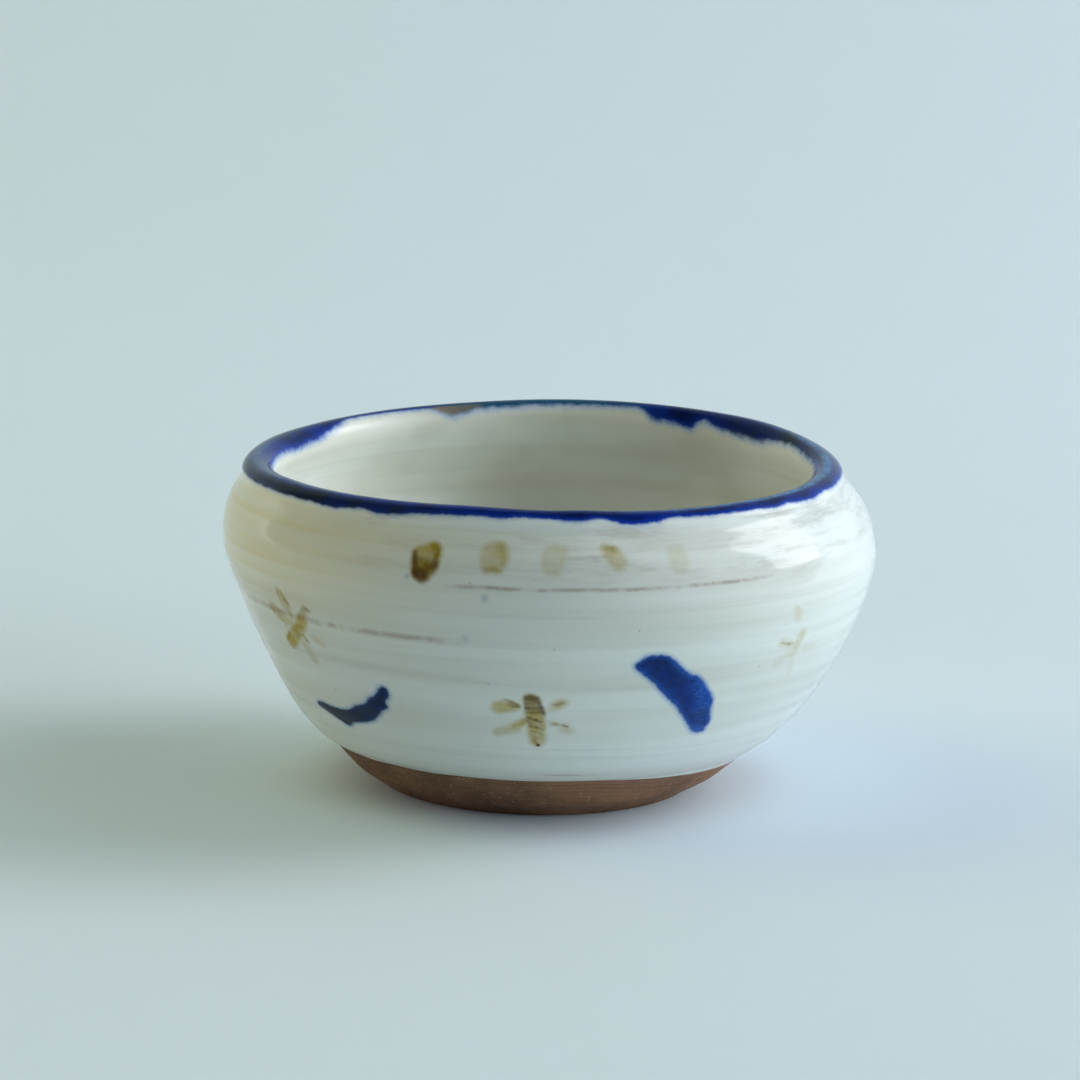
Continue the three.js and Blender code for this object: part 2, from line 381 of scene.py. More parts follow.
def put(name: str, data: bpy.types.ID) -> Piece:
    """Puts an object into the scene.

    Args:
        name: The object's name.
        data: The mesh or lamp it shows.

    Returns:
        The object.
    """
    piece = bpy.data.objects.new(name, data)
    bpy.context.scene.collection.objects.link(piece)
    return piece


def turned(name: str, rings: list[Ring]) -> Piece:
    """Joins rings into one closed mesh.

    Args:
        name: The piece's name.
        rings: Its rings in order. Where the first is a ring, the last joins it.

    Returns:
        The object.
    """
    starts = np.cumsum([0] + [len(ring.points) for ring in rings])
    ends_meet = len(rings[0].points) > 1
    faces: list[tuple[int, ...]] = []
    for k in range(len(rings) if ends_meet else len(rings) - 1):
        follower = (k + 1) % len(rings)
        a, b = int(starts[k]), int(starts[follower])
        count_a, count_b = len(rings[k].points), len(rings[follower].points)
        for i in range(max(count_a, count_b)):
            j = (i + 1) % max(count_a, count_b)
            if count_a == 1:
                faces.append((a, b + j, b + i))
            elif count_b == 1:
                faces.append((a + i, a + j, b))
            else:
                faces.append((a + i, a + j, b + j, b + i))
    values = {key: np.concatenate([ring.values[key] for ring in rings]) for key in rings[0].values}
    points = np.concatenate([ring.points for ring in rings])
    normals = None if rings[0].normals is None else np.concatenate([ring.normals for ring in rings])
    return make_mesh(name, points, faces, normals, values)


class Assembly:
    """A part of the bowl that is built and dressed in one go."""

    def build(self) -> list[Built]:
        """Builds the pieces, each with the node that it stands for and its slot."""
        raise NotImplementedError

    def dress(self, finishes: dict[Slot, Material]) -> None:
        """Builds the pieces, gives each its material and its body, and hides the CAD node that it stands for.

        Args:
            finishes: The material of each slot.
        """
        for piece, node, slot in self.build():
            piece.data.materials.append(finishes[slot])
            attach(piece, BODY)
            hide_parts(node)
            LOG.info("%s stands for %s, %d faces", piece.name, node, len(piece.data.polygons))


class GlazeEdge:
    """An edge where a glaze ended or ran: how far it reaches, at some angles from the front to the right."""

    def __init__(self, *reaches: Pair) -> None:
        """Keeps the angles and how far the glaze reaches there."""
        self.angles, self.reaches = np.array(reaches).T

    def reach(self, angle: Array) -> Array:
        """How far the glaze reaches at each angle."""
        return np.interp(np.degrees(angle) % 360, self.angles % 360, self.reaches, period=360)


OUTER_EDGE = GlazeEdge(
    (-72, 3.05), (-65, 3.1), (-59, 3.2), (-52, 3.2), (-47, 3.15), (-43.5, 3.45), (-40, 3.35), (-37, 3.1), (-34.6, 2.85),
    (-31, 3.3), (-27, 3.2), (-24, 2.8), (-22.8, 2.65), (-20.5, 2.75), (-18, 2.55), (-14.5, 2.6), (-11.5, 2.45),
    (-7.5, 2.65), (-5.4, 2.4), (-3.5, 2.1), (-1.8, 2.3), (1, 2.3), (3.6, 2.6), (7.2, 2.75), (8.6, 2.5), (9.5, 2.25),
    (11, 2.25), (12.7, 2.5), (14.4, 3.0), (16.7, 3.2), (18.6, 3.0), (21, 2.85), (22.7, 2.4), (24.7, 2.1), (26.5, 2.1),
    (30, 2.25), (33, 2.35), (37, 2.25), (40.5, 2.4), (43.5, 2.25), (47, 2.6), (49, 2.7), (52, 2.35), (55, 2.5),
    (58.4, 2.8), (62.7, 2.75), (66, 2.4), (70, 2.65), (76, 2.6), (100, 2.7), (112, 2.95), (125, 2.3), (138, 2.65),
    (150, 3.0), (161, 2.8), (172, 2.4), (183, 2.55), (196, 2.9), (209, 2.6), (222, 2.5), (236, 2.95), (250, 3.1),
    (262, 2.75), (270, 2.9),
)
INNER_EDGE = GlazeEdge(
    (0, 3.0), (20, 3.4), (45, 2.8), (65, 3.1), (85.5, 2.4), (103, 2.95), (110, 2.6), (120.5, 3.5), (124, 4.3),
    (133, 4.2), (138, 3.6), (142, 2.85), (145, 4.5), (147.5, 4.25), (155, 3.7), (158, 1.9), (176, 2.05), (194, 2.3),
    (201, 3.35), (206, 1.4), (227, 0.9), (230, 1.9), (239, 3.6), (248, 4.0), (260, 3.3), (285, 2.9), (310, 3.3),
    (335, 2.6),
)
FOOT_EDGE = GlazeEdge(
    (-75, -0.3), (-54, -0.5), (-46, -0.75), (-40, -0.5), (-33, -0.65), (-27, -0.7), (-21, -0.4), (-8, -0.4), (0, -0.3),
    (8, -0.1), (13.6, 0.0), (19, -0.35), (27, -0.9), (31, -1.2), (37, -1.45), (42, -1.8), (54, -2.3), (60, -2.2),
    (66, -1.7), (84, -1.2), (104, -0.5), (122, -0.8), (150, -0.2), (171, -0.9), (195, -1.3), (218, -0.6), (240, -0.9),
    (262, -0.2),
)


@dataclass
class Turned(Assembly):
    """What is turned round the axis in even steps."""

    form: Form
    segments: int = 320
    coat: float = 0.5

    @property
    def angles(self) -> Array:
        """The angle of each step, from the front to the right."""
        return np.arange(self.segments) * TURN / self.segments


@dataclass
class Coats(Turned):
    """The three coats of glaze: white outside, blue over the lip and cream inside."""

    wall_rows: int = 118
    band_rows: int = 40
    inside_rows: int = 130
    back_rows: tuple[int, int, int] = (14, 20, 43)
    bead_steps: int = 7
    sink: float = 0.1
    far_from_band: float = 6.0

    def __post_init__(self) -> None:
        """Works out where the coats meet, at each angle."""
        self.outer_seam = self.form.crest - OUTER_EDGE.reach(self.angles)
        self.inner_seam = self.form.crest + INNER_EDGE.reach(self.angles)
        self.low_edge = FOOT_EDGE.reach(self.angles)

    def row(self, along: Array, depth: float = 0.0, facing: float = 1.0) -> Ring:
        """Makes one ring of a coat.

        Args:
            along: How far along the section the ring lies at each angle.
            depth: How far under the surface.
            facing: 1 to face out of the coat, -1 to face the clay.

        Returns:
            The ring, with what the glaze reads on it.
        """
        a, outer, inner = (steps[: len(along)] for steps in (self.angles, self.outer_seam, self.inner_seam))
        band = np.clip(np.minimum(along - outer, inner - along), -self.far_from_band, self.far_from_band)
        values = {"along": along, "band": band, "crest_distance": along - self.form.crest}
        return Ring(self.form.place(a, along, depth), facing * self.form.normal(a, along), values)

    def rows(self, start: Array, end: Array, count: int, under: bool = False) -> list[Ring]:
        """Makes evenly spaced rings from one line round the bowl to another, on the coat or under it."""
        side = (self.coat, -1.0) if under else (0.0, 1.0)
        return [self.row(start + (end - start) * share, *side) for share in np.linspace(0, 1, count + 1)]

    def pole(self, depth: float, facing: float) -> Ring:
        """Makes the point of the inside that lies on the axis."""
        return self.row(np.array([self.form.length]), depth)._replace(normals=np.array([[0.0, 0.0, facing]]))

    def bead(self) -> list[Ring]:
        """Makes the rounded lower edge of the white coat.

        Returns:
            Its rings, from the clay out to the coat's face.
        """
        half = (self.coat + self.sink) / 2
        face = self.form.normal(self.angles, self.low_edge)
        down = -(self.form.place(self.angles, self.low_edge + 0.1) - self.form.place(self.angles, self.low_edge))
        down /= np.linalg.norm(down, axis=-1, keepdims=True)
        rings = []
        for turn in np.linspace(-math.pi / 2, math.pi / 2, self.bead_steps + 2)[1:-1]:
            ring = self.row(self.low_edge + half * (1 - math.cos(turn)), half * (1 - math.sin(turn)))
            rings.append(ring._replace(normals=down * math.cos(turn) + face * math.sin(turn)))
        return rings

    def build(self) -> list[Built]:
        """Builds the three coats, each with a coarser back that nobody sees.

        Returns:
            The white coat, the blue band and the cream coat.
        """
        wall_back, band_back, inside_back = self.back_rows
        foot = self.low_edge + (self.coat + self.sink) / 2
        end = np.full(self.segments, self.form.length)
        wall = self.rows(foot, self.outer_seam, self.wall_rows) + self.rows(self.outer_seam, foot, wall_back, True)
        band = self.rows(self.outer_seam, self.inner_seam, self.band_rows)
        band += self.rows(self.inner_seam, self.outer_seam, band_back, True)
        inside = [self.pole(self.coat, -1.0)] + self.rows(end, self.inner_seam, inside_back, True)[1:]
        inside += self.rows(self.inner_seam, end, self.inside_rows)[:-1] + [self.pole(0.0, 1.0)]
        return [
            (turned("outer_white_glaze", self.bead() + wall), "outer_white_coat", Slot.WHITE_COAT),
            (turned("lip_blue_glaze", band), "lip_blue_band", Slot.BLUE_GLAZE),
            (turned("inner_cream_glaze", inside), "inner_cream_coat", Slot.CREAM_COAT),
        ]


@dataclass
class ClayBody(Turned):
    """The thrown wall under the coats, and the turned foot."""

    bevel: Pair = (25.0, 0.8)
    foot_radius: float = 24.0
    ring_width: float = 5.5
    recess_depth: float = 2.6
    recess_slope: float = 1.2
    row_step: float = 0.16
    corner_steps: int = 7
    tool_mark: float = 0.022
    tool_spacing: float = 0.95
    hidden_rows: tuple[int, int, int] = (27, 16, 24)
    lip_reach: float = 4.0
    marks_above: Pair = (0.25, 0.9)
    marks_beyond: Pair = (0.4, 1.2)
    last_gap: float = 0.5

    def foot_line(self) -> Array:
        """Draws the foot's section, with worn corners.

        Returns:
            Evenly spaced points from under the coat to the middle of the recess.
        """
        section = self.form.section
        slope = math.radians(section.coat_edge_slope)
        under = self.coat + self.form.hand.lip_inset
        first = (section.coat_edge[0] - math.sin(slope) * under, section.coat_edge[1] + math.cos(slope) * under)
        inner = self.foot_radius - self.ring_width
        corners = [
            (first, 0.0),
            (section.foot_line, 0.5),
            (self.bevel, 0.35),
            ((self.foot_radius, 0.0), 0.3),
            ((inner, 0.0), 0.4),
            ((inner - self.recess_slope, self.recess_depth), 1.0),
            ((0.0, self.recess_depth), 0.0),
        ]
        line = [np.array(first)]
        for (before, _), (corner, cut), (after, _) in zip(corners, corners[1:], corners[2:]):
            here = np.array(corner)
            back, on = np.array(before) - here, np.array(after) - here
            ends = [here + way / np.linalg.norm(way) * cut for way in (back, on)]
            line.extend(bezier((ends[0], corner, ends[1]), self.corner_steps))
        points = np.array(line + [np.array(corners[-1][0])])
        far = travelled(points)
        steps = np.arange(0, far[-1] - self.last_gap, self.row_step)
        return np.stack([np.interp(steps, far, column) for column in points.T], axis=1)

    def ring(self, points: Array, way: float) -> Ring:
        """Makes one ring, which knows how far below the coat's edge it lies."""
        edge = FOOT_EDGE.reach(self.angles) if len(points) > 1 else np.zeros(1)
        return Ring(points, None, {"foot": way + edge})

    def build(self) -> list[Built]:
        """Builds the clay as one closed body.

        Returns:
            The clay alone.
        """
        form, a, pole = self.form, self.angles, np.zeros(1)
        rings = [self.ring(form.place(pole, np.array([form.length]), self.coat), -form.length)]
        inside, lip, outside = self.hidden_rows
        over, under = form.crest + self.lip_reach, form.crest - self.lip_reach
        stations = [
            np.linspace(form.length, over, inside)[1:-1], np.linspace(over, under, lip)[:-1],
            np.linspace(under, 0.0, outside),
        ]
        for along in np.concatenate(stations):
            places = form.place(a, np.full(self.segments, along), self.coat)
            rings.append(self.ring(places, -max(float(along), 0.0)))
        line = self.foot_line()
        far = travelled(line)
        for point, tangent, way in zip(line[2:], along_line(line)[2:], far[2:]):
            on_side = smooth(point[1], *self.marks_above) * smooth(way, *self.marks_beyond)
            mark = self.tool_mark * on_side * (np.sin(TURN * way / self.tool_spacing + a) - 1)
            places = form.spin(point[0] + tangent[1] * mark, point[1] - tangent[0] * mark, a)
            rings.append(self.ring(places, float(way)))
        rings.append(self.ring(form.spin(pole, np.array([self.recess_depth]), pole), float(far[-1])))
        return [(turned("clay_wall_and_foot", rings[::-1]), "clay_body", Slot.STONEWARE)]


# Brushed and stamped marks


@dataclass(frozen=True)
class Spot:
    """Where a mark lies: its angle from the front, its share of the way up the wall and its turn."""

    angle: float
    rise: float
    turn: float = 0.0


@dataclass(frozen=True)
class Field:
    """The oval of glaze that a mark is laid in, in the mark's own millimetres."""

    middle: Pair
    half_length: float
    half_width: float
    tilt: float = 0.0
    rings: int = 18
    sides: int = 64


@dataclass(frozen=True)
class Blot:
    """One touch of colour, from one end to the other, in the mark's own millimetres."""

    start: Pair
    end: Pair
    width: float
    strength: float
    soft: float = 0.4

    def inside(self, across: Array, up: Array) -> Array:
        """Measures how far inside the touch each place lies.

        Args:
            across: Millimetres to the right of the mark's middle.
            up: Millimetres above it.

        Returns:
            The distance to its edge, which is negative outside.
        """
        a, b = np.array(self.start), np.array(self.end)
        way = b - a
        share = ((across - a[0]) * way[0] + (up - a[1]) * way[1]) / max(float(way @ way), 1e-9)
        share = np.clip(share, 0, 1)
        return self.width / 2 - np.hypot(across - a[0] - share * way[0], up - a[1] - share * way[1])


def touches(*rows: tuple[float, ...]) -> tuple[Blot, ...]:
    """Reads touches from rows: the start, the end, the width, the strength and the softness."""
    return tuple(Blot(row[:2], row[2:4], *row[4:]) for row in rows)


def rounded(outline: Pairs, rounds: int) -> Array:
    """Cuts the corners of a closed outline, so that it runs like a brush's edge.

    Args:
        outline: Its corners.
        rounds: How often each corner is cut.

    Returns:
        The corners of the softer outline.
    """
    points = np.array(outline, float)
    for _ in range(rounds):
        after = np.roll(points, -1, axis=0)
        points = np.stack([0.75 * points + 0.25 * after, 0.25 * points + 0.75 * after], axis=1).reshape(-1, 2)
    return points


def signed_distance(outline: Array, across: Array, up: Array) -> Array:
    """Measures how far inside a closed outline each place lies.

    Args:
        outline: Its corners.
        across: Millimetres to the right of the mark's middle.
        up: Millimetres above it.

    Returns:
        The distance to its edge, which is negative outside.
    """
    nearest, crossings = np.full(across.shape, np.inf), np.zeros(across.shape, int)
    for (x0, y0), (x1, y1) in zip(outline, np.roll(outline, -1, axis=0)):
        wx, wy = x1 - x0, y1 - y0
        share = np.clip(((across - x0) * wx + (up - y0) * wy) / max(wx * wx + wy * wy, 1e-12), 0, 1)
        nearest = np.minimum(nearest, np.hypot(across - x0 - share * wx, up - y0 - share * wy))
        meets = x0 + (up - y0) * wx / (wy if abs(wy) > 1e-12 else 1e-12)
        crossings += ((y0 > up) != (y1 > up)) & (across < meets)
    return np.where(crossings % 2 == 1, nearest, -nearest)


@dataclass(frozen=True)
class Print:
    """A stamp or a dab in iron: a pale wash of touches with darker ones in it."""

    wash: tuple[Blot, ...]
    dark: tuple[Blot, ...]
    outline: Pairs = ()
    outline_strength: float = 0.0
    blend: float = 4.0
    blend_depth: float = 0.3

    def ink(self, across: Array, up: Array) -> Ink:
        """Works out the colour at each place of the mark.

        Args:
            across: Millimetres to the right of its middle.
            up: Millimetres above it.

        Returns:
            How far each place lies inside the wash, how strong it is there, and how dark.
        """
        washes = [(blot.inside(across, up), blot.strength) for blot in self.wash]
        if self.outline:
            washes.insert(0, (signed_distance(rounded(self.outline, 3), across, up), self.outline_strength))
        edge, weight = np.full(across.shape, -EDGE_REACH), np.full(across.shape, 1e-6)
        strength, dark = np.zeros(across.shape), np.zeros(across.shape)
        for depth, force in washes:
            edge = np.maximum(edge, depth)
            share = np.exp(self.blend * np.clip(depth, -EDGE_REACH, self.blend_depth))
            weight += share
            strength += share * force
        for blot in self.dark:
            cover = blot.strength * smooth(blot.inside(across, up), -blot.soft / 2, blot.soft / 2)
            dark = dark + cover - dark * cover
        return {"edge": np.clip(edge, -EDGE_REACH, EDGE_REACH), "wash": strength / weight, "dark": dark}


@dataclass(frozen=True)
class Film:
    """One film of glaze: the node that it stands for, its kind, its place, its height and its colour."""

    node: str
    kind: str
    spot: Spot
    area: Field
    lift: float
    ink: Callable[[Array, Array], Ink]


@dataclass
class FilmPress:
    """Lays marks on the coat as thin films of glaze that thin out to their borders."""

    form: Form
    under: float = 0.005
    border: float = 0.007
    border_fall: int = 4

    def lay(self, film: Film) -> Piece:
        """Makes one film.

        Args:
            film: What it is like.

        Returns:
            The object.
        """
        form, area = self.form, film.area
        shares, turns = np.arange(1, area.rings + 1) / area.rings, np.arange(area.sides) * TURN / area.sides
        share, turn = (np.append(0.0, grid) for grid in np.meshgrid(shares, turns, indexing="ij"))
        tilt, lean = math.radians(area.tilt), -math.radians(film.spot.turn)
        long, wide = area.half_length * share * np.cos(turn), area.half_width * share * np.sin(turn)
        across = area.middle[0] + long * math.cos(tilt) - wide * math.sin(tilt)
        up = area.middle[1] + long * math.sin(tilt) + wide * math.cos(tilt)
        middle = film.spot.rise * form.crest
        radius = float(np.interp(middle, form.along, form.points[:, 0]))
        angle = math.radians(film.spot.angle) + (across * math.cos(lean) - up * math.sin(lean)) / radius
        along = middle + (across * math.sin(lean) + up * math.cos(lean))
        lift = self.border + (film.lift - self.border) * (1 - share**self.border_fall)
        points = np.concatenate([form.place(angle, along, -lift), form.place(angle, along, -self.under)])
        facing = form.normal(angle, along)
        values = film.ink(across, up) | {"along": along, "across": across, "up": up}
        values = {key: np.tile(numbers, 2) for key, numbers in values.items()}
        faces: list[tuple[int, ...]] = []
        count, rim = len(share), 1 + (area.rings - 1) * area.sides
        for i in range(area.sides):
            j = (i + 1) % area.sides
            faces += [(0, 1 + i, 1 + j), (count, count + 1 + j, count + 1 + i)]
            for a in range(1, rim, area.sides):
                b = a + area.sides
                faces.append((a + i, b + i, b + j, a + j))
                faces.append((count + a + j, count + b + j, count + b + i, count + a + i))
            faces.append((rim + i, count + rim + i, count + rim + j, rim + j))
        name = f"{film.node}_{film.kind}"
        return make_mesh(name, points, faces, np.concatenate([facing, -facing]), values)


@dataclass
class Marks(Assembly):
    """Marks of one pigment, each laid on the coat as a film."""

    press: FilmPress
    slot: ClassVar[Slot] = Slot.IRON

    def films(self) -> Iterator[Film]:
        """Names every film of the marks in order."""
        raise NotImplementedError

    def build(self) -> list[Built]:
        """Lays every film."""
        return [(self.press.lay(film), film.node, self.slot) for film in self.films()]


FRONT_BEE = Print(
    wash=touches(
        (-0.2, 4.0, -0.1, 1.5, 2.3, 0.8), (-0.1, 1.8, 0.0, -1.0, 2.8, 0.76), (-0.2, -1.0, -0.1, -3.9, 2.5, 0.66),
        (-4.9, 3.0, -3.3, 3.2, 2.4, 0.6), (-3.4, 3.3, -2.2, 3.0, 1.0, 0.9), (-3.4, -0.8, -1.3, 0.2, 1.3, 0.8),
        (-6.0, -1.7, -3.2, -1.2, 1.6, 0.4), (1.5, 1.9, 2.8, 1.9, 0.8, 0.25), (3.0, 2.5, 4.1, 3.0, 1.5, 0.66),
        (2.2, -0.7, 4.4, -1.5, 0.8, 0.42), (3.8, -1.9, 4.8, -2.4, 1.3, 0.32),
    ),
    dark=touches(
        (-0.5, 4.6, 0.1, 4.3, 1.2, 0.5, 1.0), (-0.1, 3.9, -0.1, 2.4, 2.0, 0.3, 1.3),
        (0.0, 3.4, 0.0, -0.4, 2.7, 0.17, 1.4), (-0.2, -1.2, -0.1, -3.9, 1.9, 0.08, 1.4),
        (-1.0, 4.6, -1.15, 2.2, 0.5, 0.35, 0.7), (0.75, 4.2, 1.25, 1.2, 0.6, 0.45, 0.8),
        (1.2, 2.4, 1.3, 1.3, 0.5, 0.4, 0.6), (-1.2, 3.4, 0.8, 3.3, 0.35, 0.25, 0.45),
        (-1.2, 2.6, 0.9, 2.4, 0.45, 0.35, 0.55), (-1.1, 1.7, 1.0, 1.6, 0.4, 0.35, 0.5),
        (-1.1, 0.8, 0.0, 0.2, 0.45, 0.5, 0.5), (0.0, 0.2, 0.7, -0.2, 0.45, 0.5, 0.5),
        (-1.3, 0.3, -0.9, -0.5, 0.7, 0.35, 0.7), (-0.9, -0.9, 0.0, -1.2, 0.35, 0.36, 0.45),
        (0.0, -1.2, 1.0, -1.8, 0.35, 0.36, 0.45), (-0.9, -1.8, 0.7, -2.7, 0.32, 0.32, 0.4),
        (-0.8, -2.8, 0.5, -3.6, 0.3, 0.3, 0.4), (-0.6, -3.6, -0.4, -4.4, 0.7, 0.3, 0.8),
        (-0.15, -4.8, -0.1, -4.85, 0.55, 0.95, 0.5), (-3.9, 4.5, -2.4, 3.4, 0.5, 0.35, 0.7),
        (-3.4, 3.5, -2.2, 3.0, 0.8, 0.35, 0.8), (-3.0, 2.9, -2.1, 2.9, 0.4, 0.35, 0.5),
        (3.1, 2.8, 3.9, 2.9, 0.7, 0.42, 0.7), (2.4, -0.75, 3.0, -0.95, 0.5, 0.42, 0.6),
        (3.8, -1.25, 4.5, -1.65, 0.4, 0.5, 0.5),
    ),
)
SIDE_BEE = Print(
    wash=touches(
        (0.2, 2.6, 0.5, -0.6, 2.2, 0.78), (0.4, -0.6, 0.1, -4.8, 2.5, 0.8), (-0.3, 5.2, 0.2, 2.9, 1.3, 0.55),
        (-5.0, 1.9, -3.2, 1.6, 2.2, 0.5), (-3.0, 1.3, -1.6, 0.8, 1.2, 0.4), (-4.8, -2.5, -2.6, -1.8, 2.6, 0.45),
        (-2.4, -1.2, -1.2, -0.6, 1.4, 0.45), (1.3, -0.1, 2.8, -0.3, 0.8, 0.5), (2.6, -1.6, 5.0, -2.2, 1.9, 0.28),
        (3.4, 2.0, 5.0, 2.6, 1.3, 0.25),
    ),
    dark=touches(
        (-4.9, 2.7, -4.2, 2.6, 0.5, 0.25, 0.6), (-3.8, 2.4, -3.1, 2.3, 0.6, 0.42, 0.6),
        (-3.6, -2.3, -3.2, -2.0, 0.6, 0.3, 0.6), (1.6, -0.1, 2.7, -0.3, 0.45, 0.38, 0.5),
        (-0.4, 5.4, 0.5, 5.9, 0.6, 0.45, 0.6), (-0.7, 4.8, -0.5, 3.2, 0.5, 0.3, 0.6),
        (-0.7, -3.0, -0.6, -4.8, 0.45, 0.38, 0.5), (0.9, -1.8, 0.1, -3.2, 0.35, 0.25, 0.4),
        (1.3, -0.4, 0.7, -1.6, 0.35, 0.25, 0.4), (0.6, 1.4, -0.4, -0.4, 0.35, 0.25, 0.4),
        (-0.6, -5.4, 0.6, -5.3, 0.5, 0.22, 0.6),
    ),
)
FAINT_BEE = Print(
    wash=touches(
        (-0.4, 2.2, 1.0, -0.4, 2.0, 0.34), (0.6, -0.6, -0.4, -3.6, 1.6, 0.16), (-3.0, -1.1, -0.8, 0.0, 1.2, 0.34),
        (-5.4, 4.1, -4.0, 3.5, 1.7, 0.2), (2.6, 1.6, 4.6, 2.8, 1.1, 0.14), (2.2, -1.4, 4.4, -2.4, 1.1, 0.12),
    ),
    dark=touches(
        (-3.2, -1.2, -1.3, -0.2, 0.36, 0.4, 0.5), (-1.9, -0.6, -0.8, 0.3, 0.36, 0.34, 0.5),
        (-0.3, 2.4, 0.2, 1.9, 0.4, 0.2, 0.5),
    ),
)
DABS = (
    Print(
        wash=touches((0.0, 1.6, 0.4, 0.8, 1.8, 0.6)),
        dark=touches(
            (-1.1, -2.1, -0.6, -2.4, 2.0, 0.8, 1.4), (-1.8, 1.0, -1.7, -1.8, 0.9, 0.62, 0.9),
            (1.9, 1.6, 1.5, -0.6, 0.8, 0.4, 0.9), (1.2, 2.2, 1.0, 1.2, 1.2, 0.3, 1.2),
            (-1.2, -0.2, 1.2, -0.4, 1.8, 0.45, 1.4), (0.2, -1.6, 0.9, -1.4, 1.6, 0.5, 1.4),
        ),
        outline=(
            (-2.2, 1.4), (-1.4, 2.0), (-0.4, 2.3), (0.6, 2.9), (1.8, 2.9), (2.4, 2.4), (2.4, 1.0), (2.1, -0.3),
            (1.5, -1.6), (0.7, -2.7), (-0.3, -3.2), (-1.4, -3.2), (-2.1, -2.7), (-2.3, -1.0),
        ),
        outline_strength=0.86,
    ),
    Print(
        wash=touches(
            (0.6, 1.3, 0.8, 0.6, 2.0, 0.9), (-1.3, -1.9, 0.6, -1.9, 1.0, 0.9), (1.5, 0.3, 1.2, -0.9, 1.0, 0.8),
        ),
        dark=touches((-1.3, -2.0, 0.2, -2.0, 0.8, 0.3, 0.9), (1.0, 1.0, 0.4, 1.6, 1.2, 0.14, 1.2)),
        outline=(
            (-2.0, -2.2), (-2.2, -0.6), (-2.0, 1.4), (-0.8, 2.2), (0.8, 2.6), (1.9, 2.1), (2.3, 0.8), (1.9, -0.8),
            (0.9, -2.0), (-0.7, -2.5),
        ),
        outline_strength=0.46,
    ),
    Print(
        wash=touches((0.4, 1.7, 1.3, 1.5, 1.0, 0.42), (-1.2, -1.7, -0.1, -1.8, 1.0, 0.4)),
        dark=(),
        outline=(
            (-1.8, 1.4), (-0.4, 2.4), (1.2, 2.5), (2.1, 1.9), (1.7, 0.2), (1.0, -1.0), (0.5, -2.2), (-0.6, -2.5),
            (-1.9, -2.1), (-2.1, -0.5),
        ),
        outline_strength=0.27,
    ),
    Print(
        wash=touches((-1.2, 1.5, 0.3, 1.2, 1.3, 0.85)),
        dark=touches((-0.9, 1.5, 0.2, 1.3, 1.0, 0.32, 1.2)),
        outline=(
            (-2.2, 1.4), (-1.4, 2.1), (0.0, 2.2), (0.9, 1.5), (1.6, 0.2), (1.5, -1.2), (0.4, -2.0), (-0.6, -1.5),
            (-1.4, -0.2),
        ),
        outline_strength=0.42,
    ),
    Print(
        wash=(),
        dark=(),
        outline=(
            (-1.8, 0.6), (-1.5, 1.7), (-0.4, 2.1), (1.1, 1.8), (1.7, 0.6), (1.4, -1.0), (0.7, -2.2), (-0.6, -2.4),
            (-1.5, -1.3),
        ),
        outline_strength=0.2,
    ),
)


@dataclass(frozen=True)
class Bee:
    """One stamped bee, in its place and pressed with its own force."""

    spot: Spot
    stamp: Print
    force: float

    def ink(self, across: Array, up: Array) -> Ink:
        """The print's colour, as strong as the stamp was pressed."""
        made = self.stamp.ink(across, up)
        return made | {"wash": made["wash"] * self.force, "dark": made["dark"] * self.force}


@dataclass
class Bees(Marks):
    """The ring of six stamped bees, each a body and four wings."""

    body: Field = Field((0.0, 0.0), 6.5, 2.4, 90.0, 32, 96)
    body_lift: float = 0.028
    wing_across: float = 4.05
    wing_half_length: float = 2.95
    wing_half_width: float = 1.85
    wing_lift: float = 0.016
    wings: tuple[tuple[str, float, float], ...] = (("fore", 2.7, 20.0), ("hind", -1.5, -20.0))
    stamps: tuple[Bee, ...] = (
        Bee(Spot(-2.5, 0.292, -8), FRONT_BEE, 1.08),
        Bee(Spot(48.5, 0.495, 42), FAINT_BEE, 1.0),
        Bee(Spot(112, 0.317, -14), FRONT_BEE, 0.8),
        Bee(Spot(176, 0.495, 36), SIDE_BEE, 0.7),
        Bee(Spot(-118, 0.306, -10), FRONT_BEE, 0.65),
        Bee(Spot(-51.5, 0.517, 48), SIDE_BEE, 1.12),
    )

    def films(self) -> Iterator[Film]:
        """Names the body and the wings of each bee.

        Yields:
            Its films. A pair of wings is given by its name, its height and its tilt.
        """
        for number, bee in enumerate(self.stamps, 1):
            yield Film(f"bee_{number}_body", "stamp", bee.spot, self.body, self.body_lift, bee.ink)
            for side, sign in (("right", 1), ("left", -1)):
                for pair, up, tilt in self.wings:
                    size = (self.wing_half_length, self.wing_half_width)
                    area = Field((sign * self.wing_across, up), *size, sign * tilt)
                    node = f"bee_{number}_{pair}_wing_{side}"
                    yield Film(node, "stamp", bee.spot, area, self.wing_lift, bee.ink)


@dataclass
class Dots(Marks):
    """The row of five iron dabs on the front of the shoulder."""

    lift: float = 0.025
    area: Field = Field((0.0, 0.0), 3.7, 3.2, 90.0, 22, 64)
    places: Pairs = ((-20.5, 0.806), (-8.5, 0.83), (1.8, 0.828), (12, 0.835), (23.4, 0.83))

    def films(self) -> Iterator[Film]:
        """Names the dabs from left to right."""
        for number, (place, dab) in enumerate(zip(self.places, DABS), 1):
            yield Film(f"iron_dot_{number}", "dab", Spot(*place), self.area, self.lift, dab.ink)


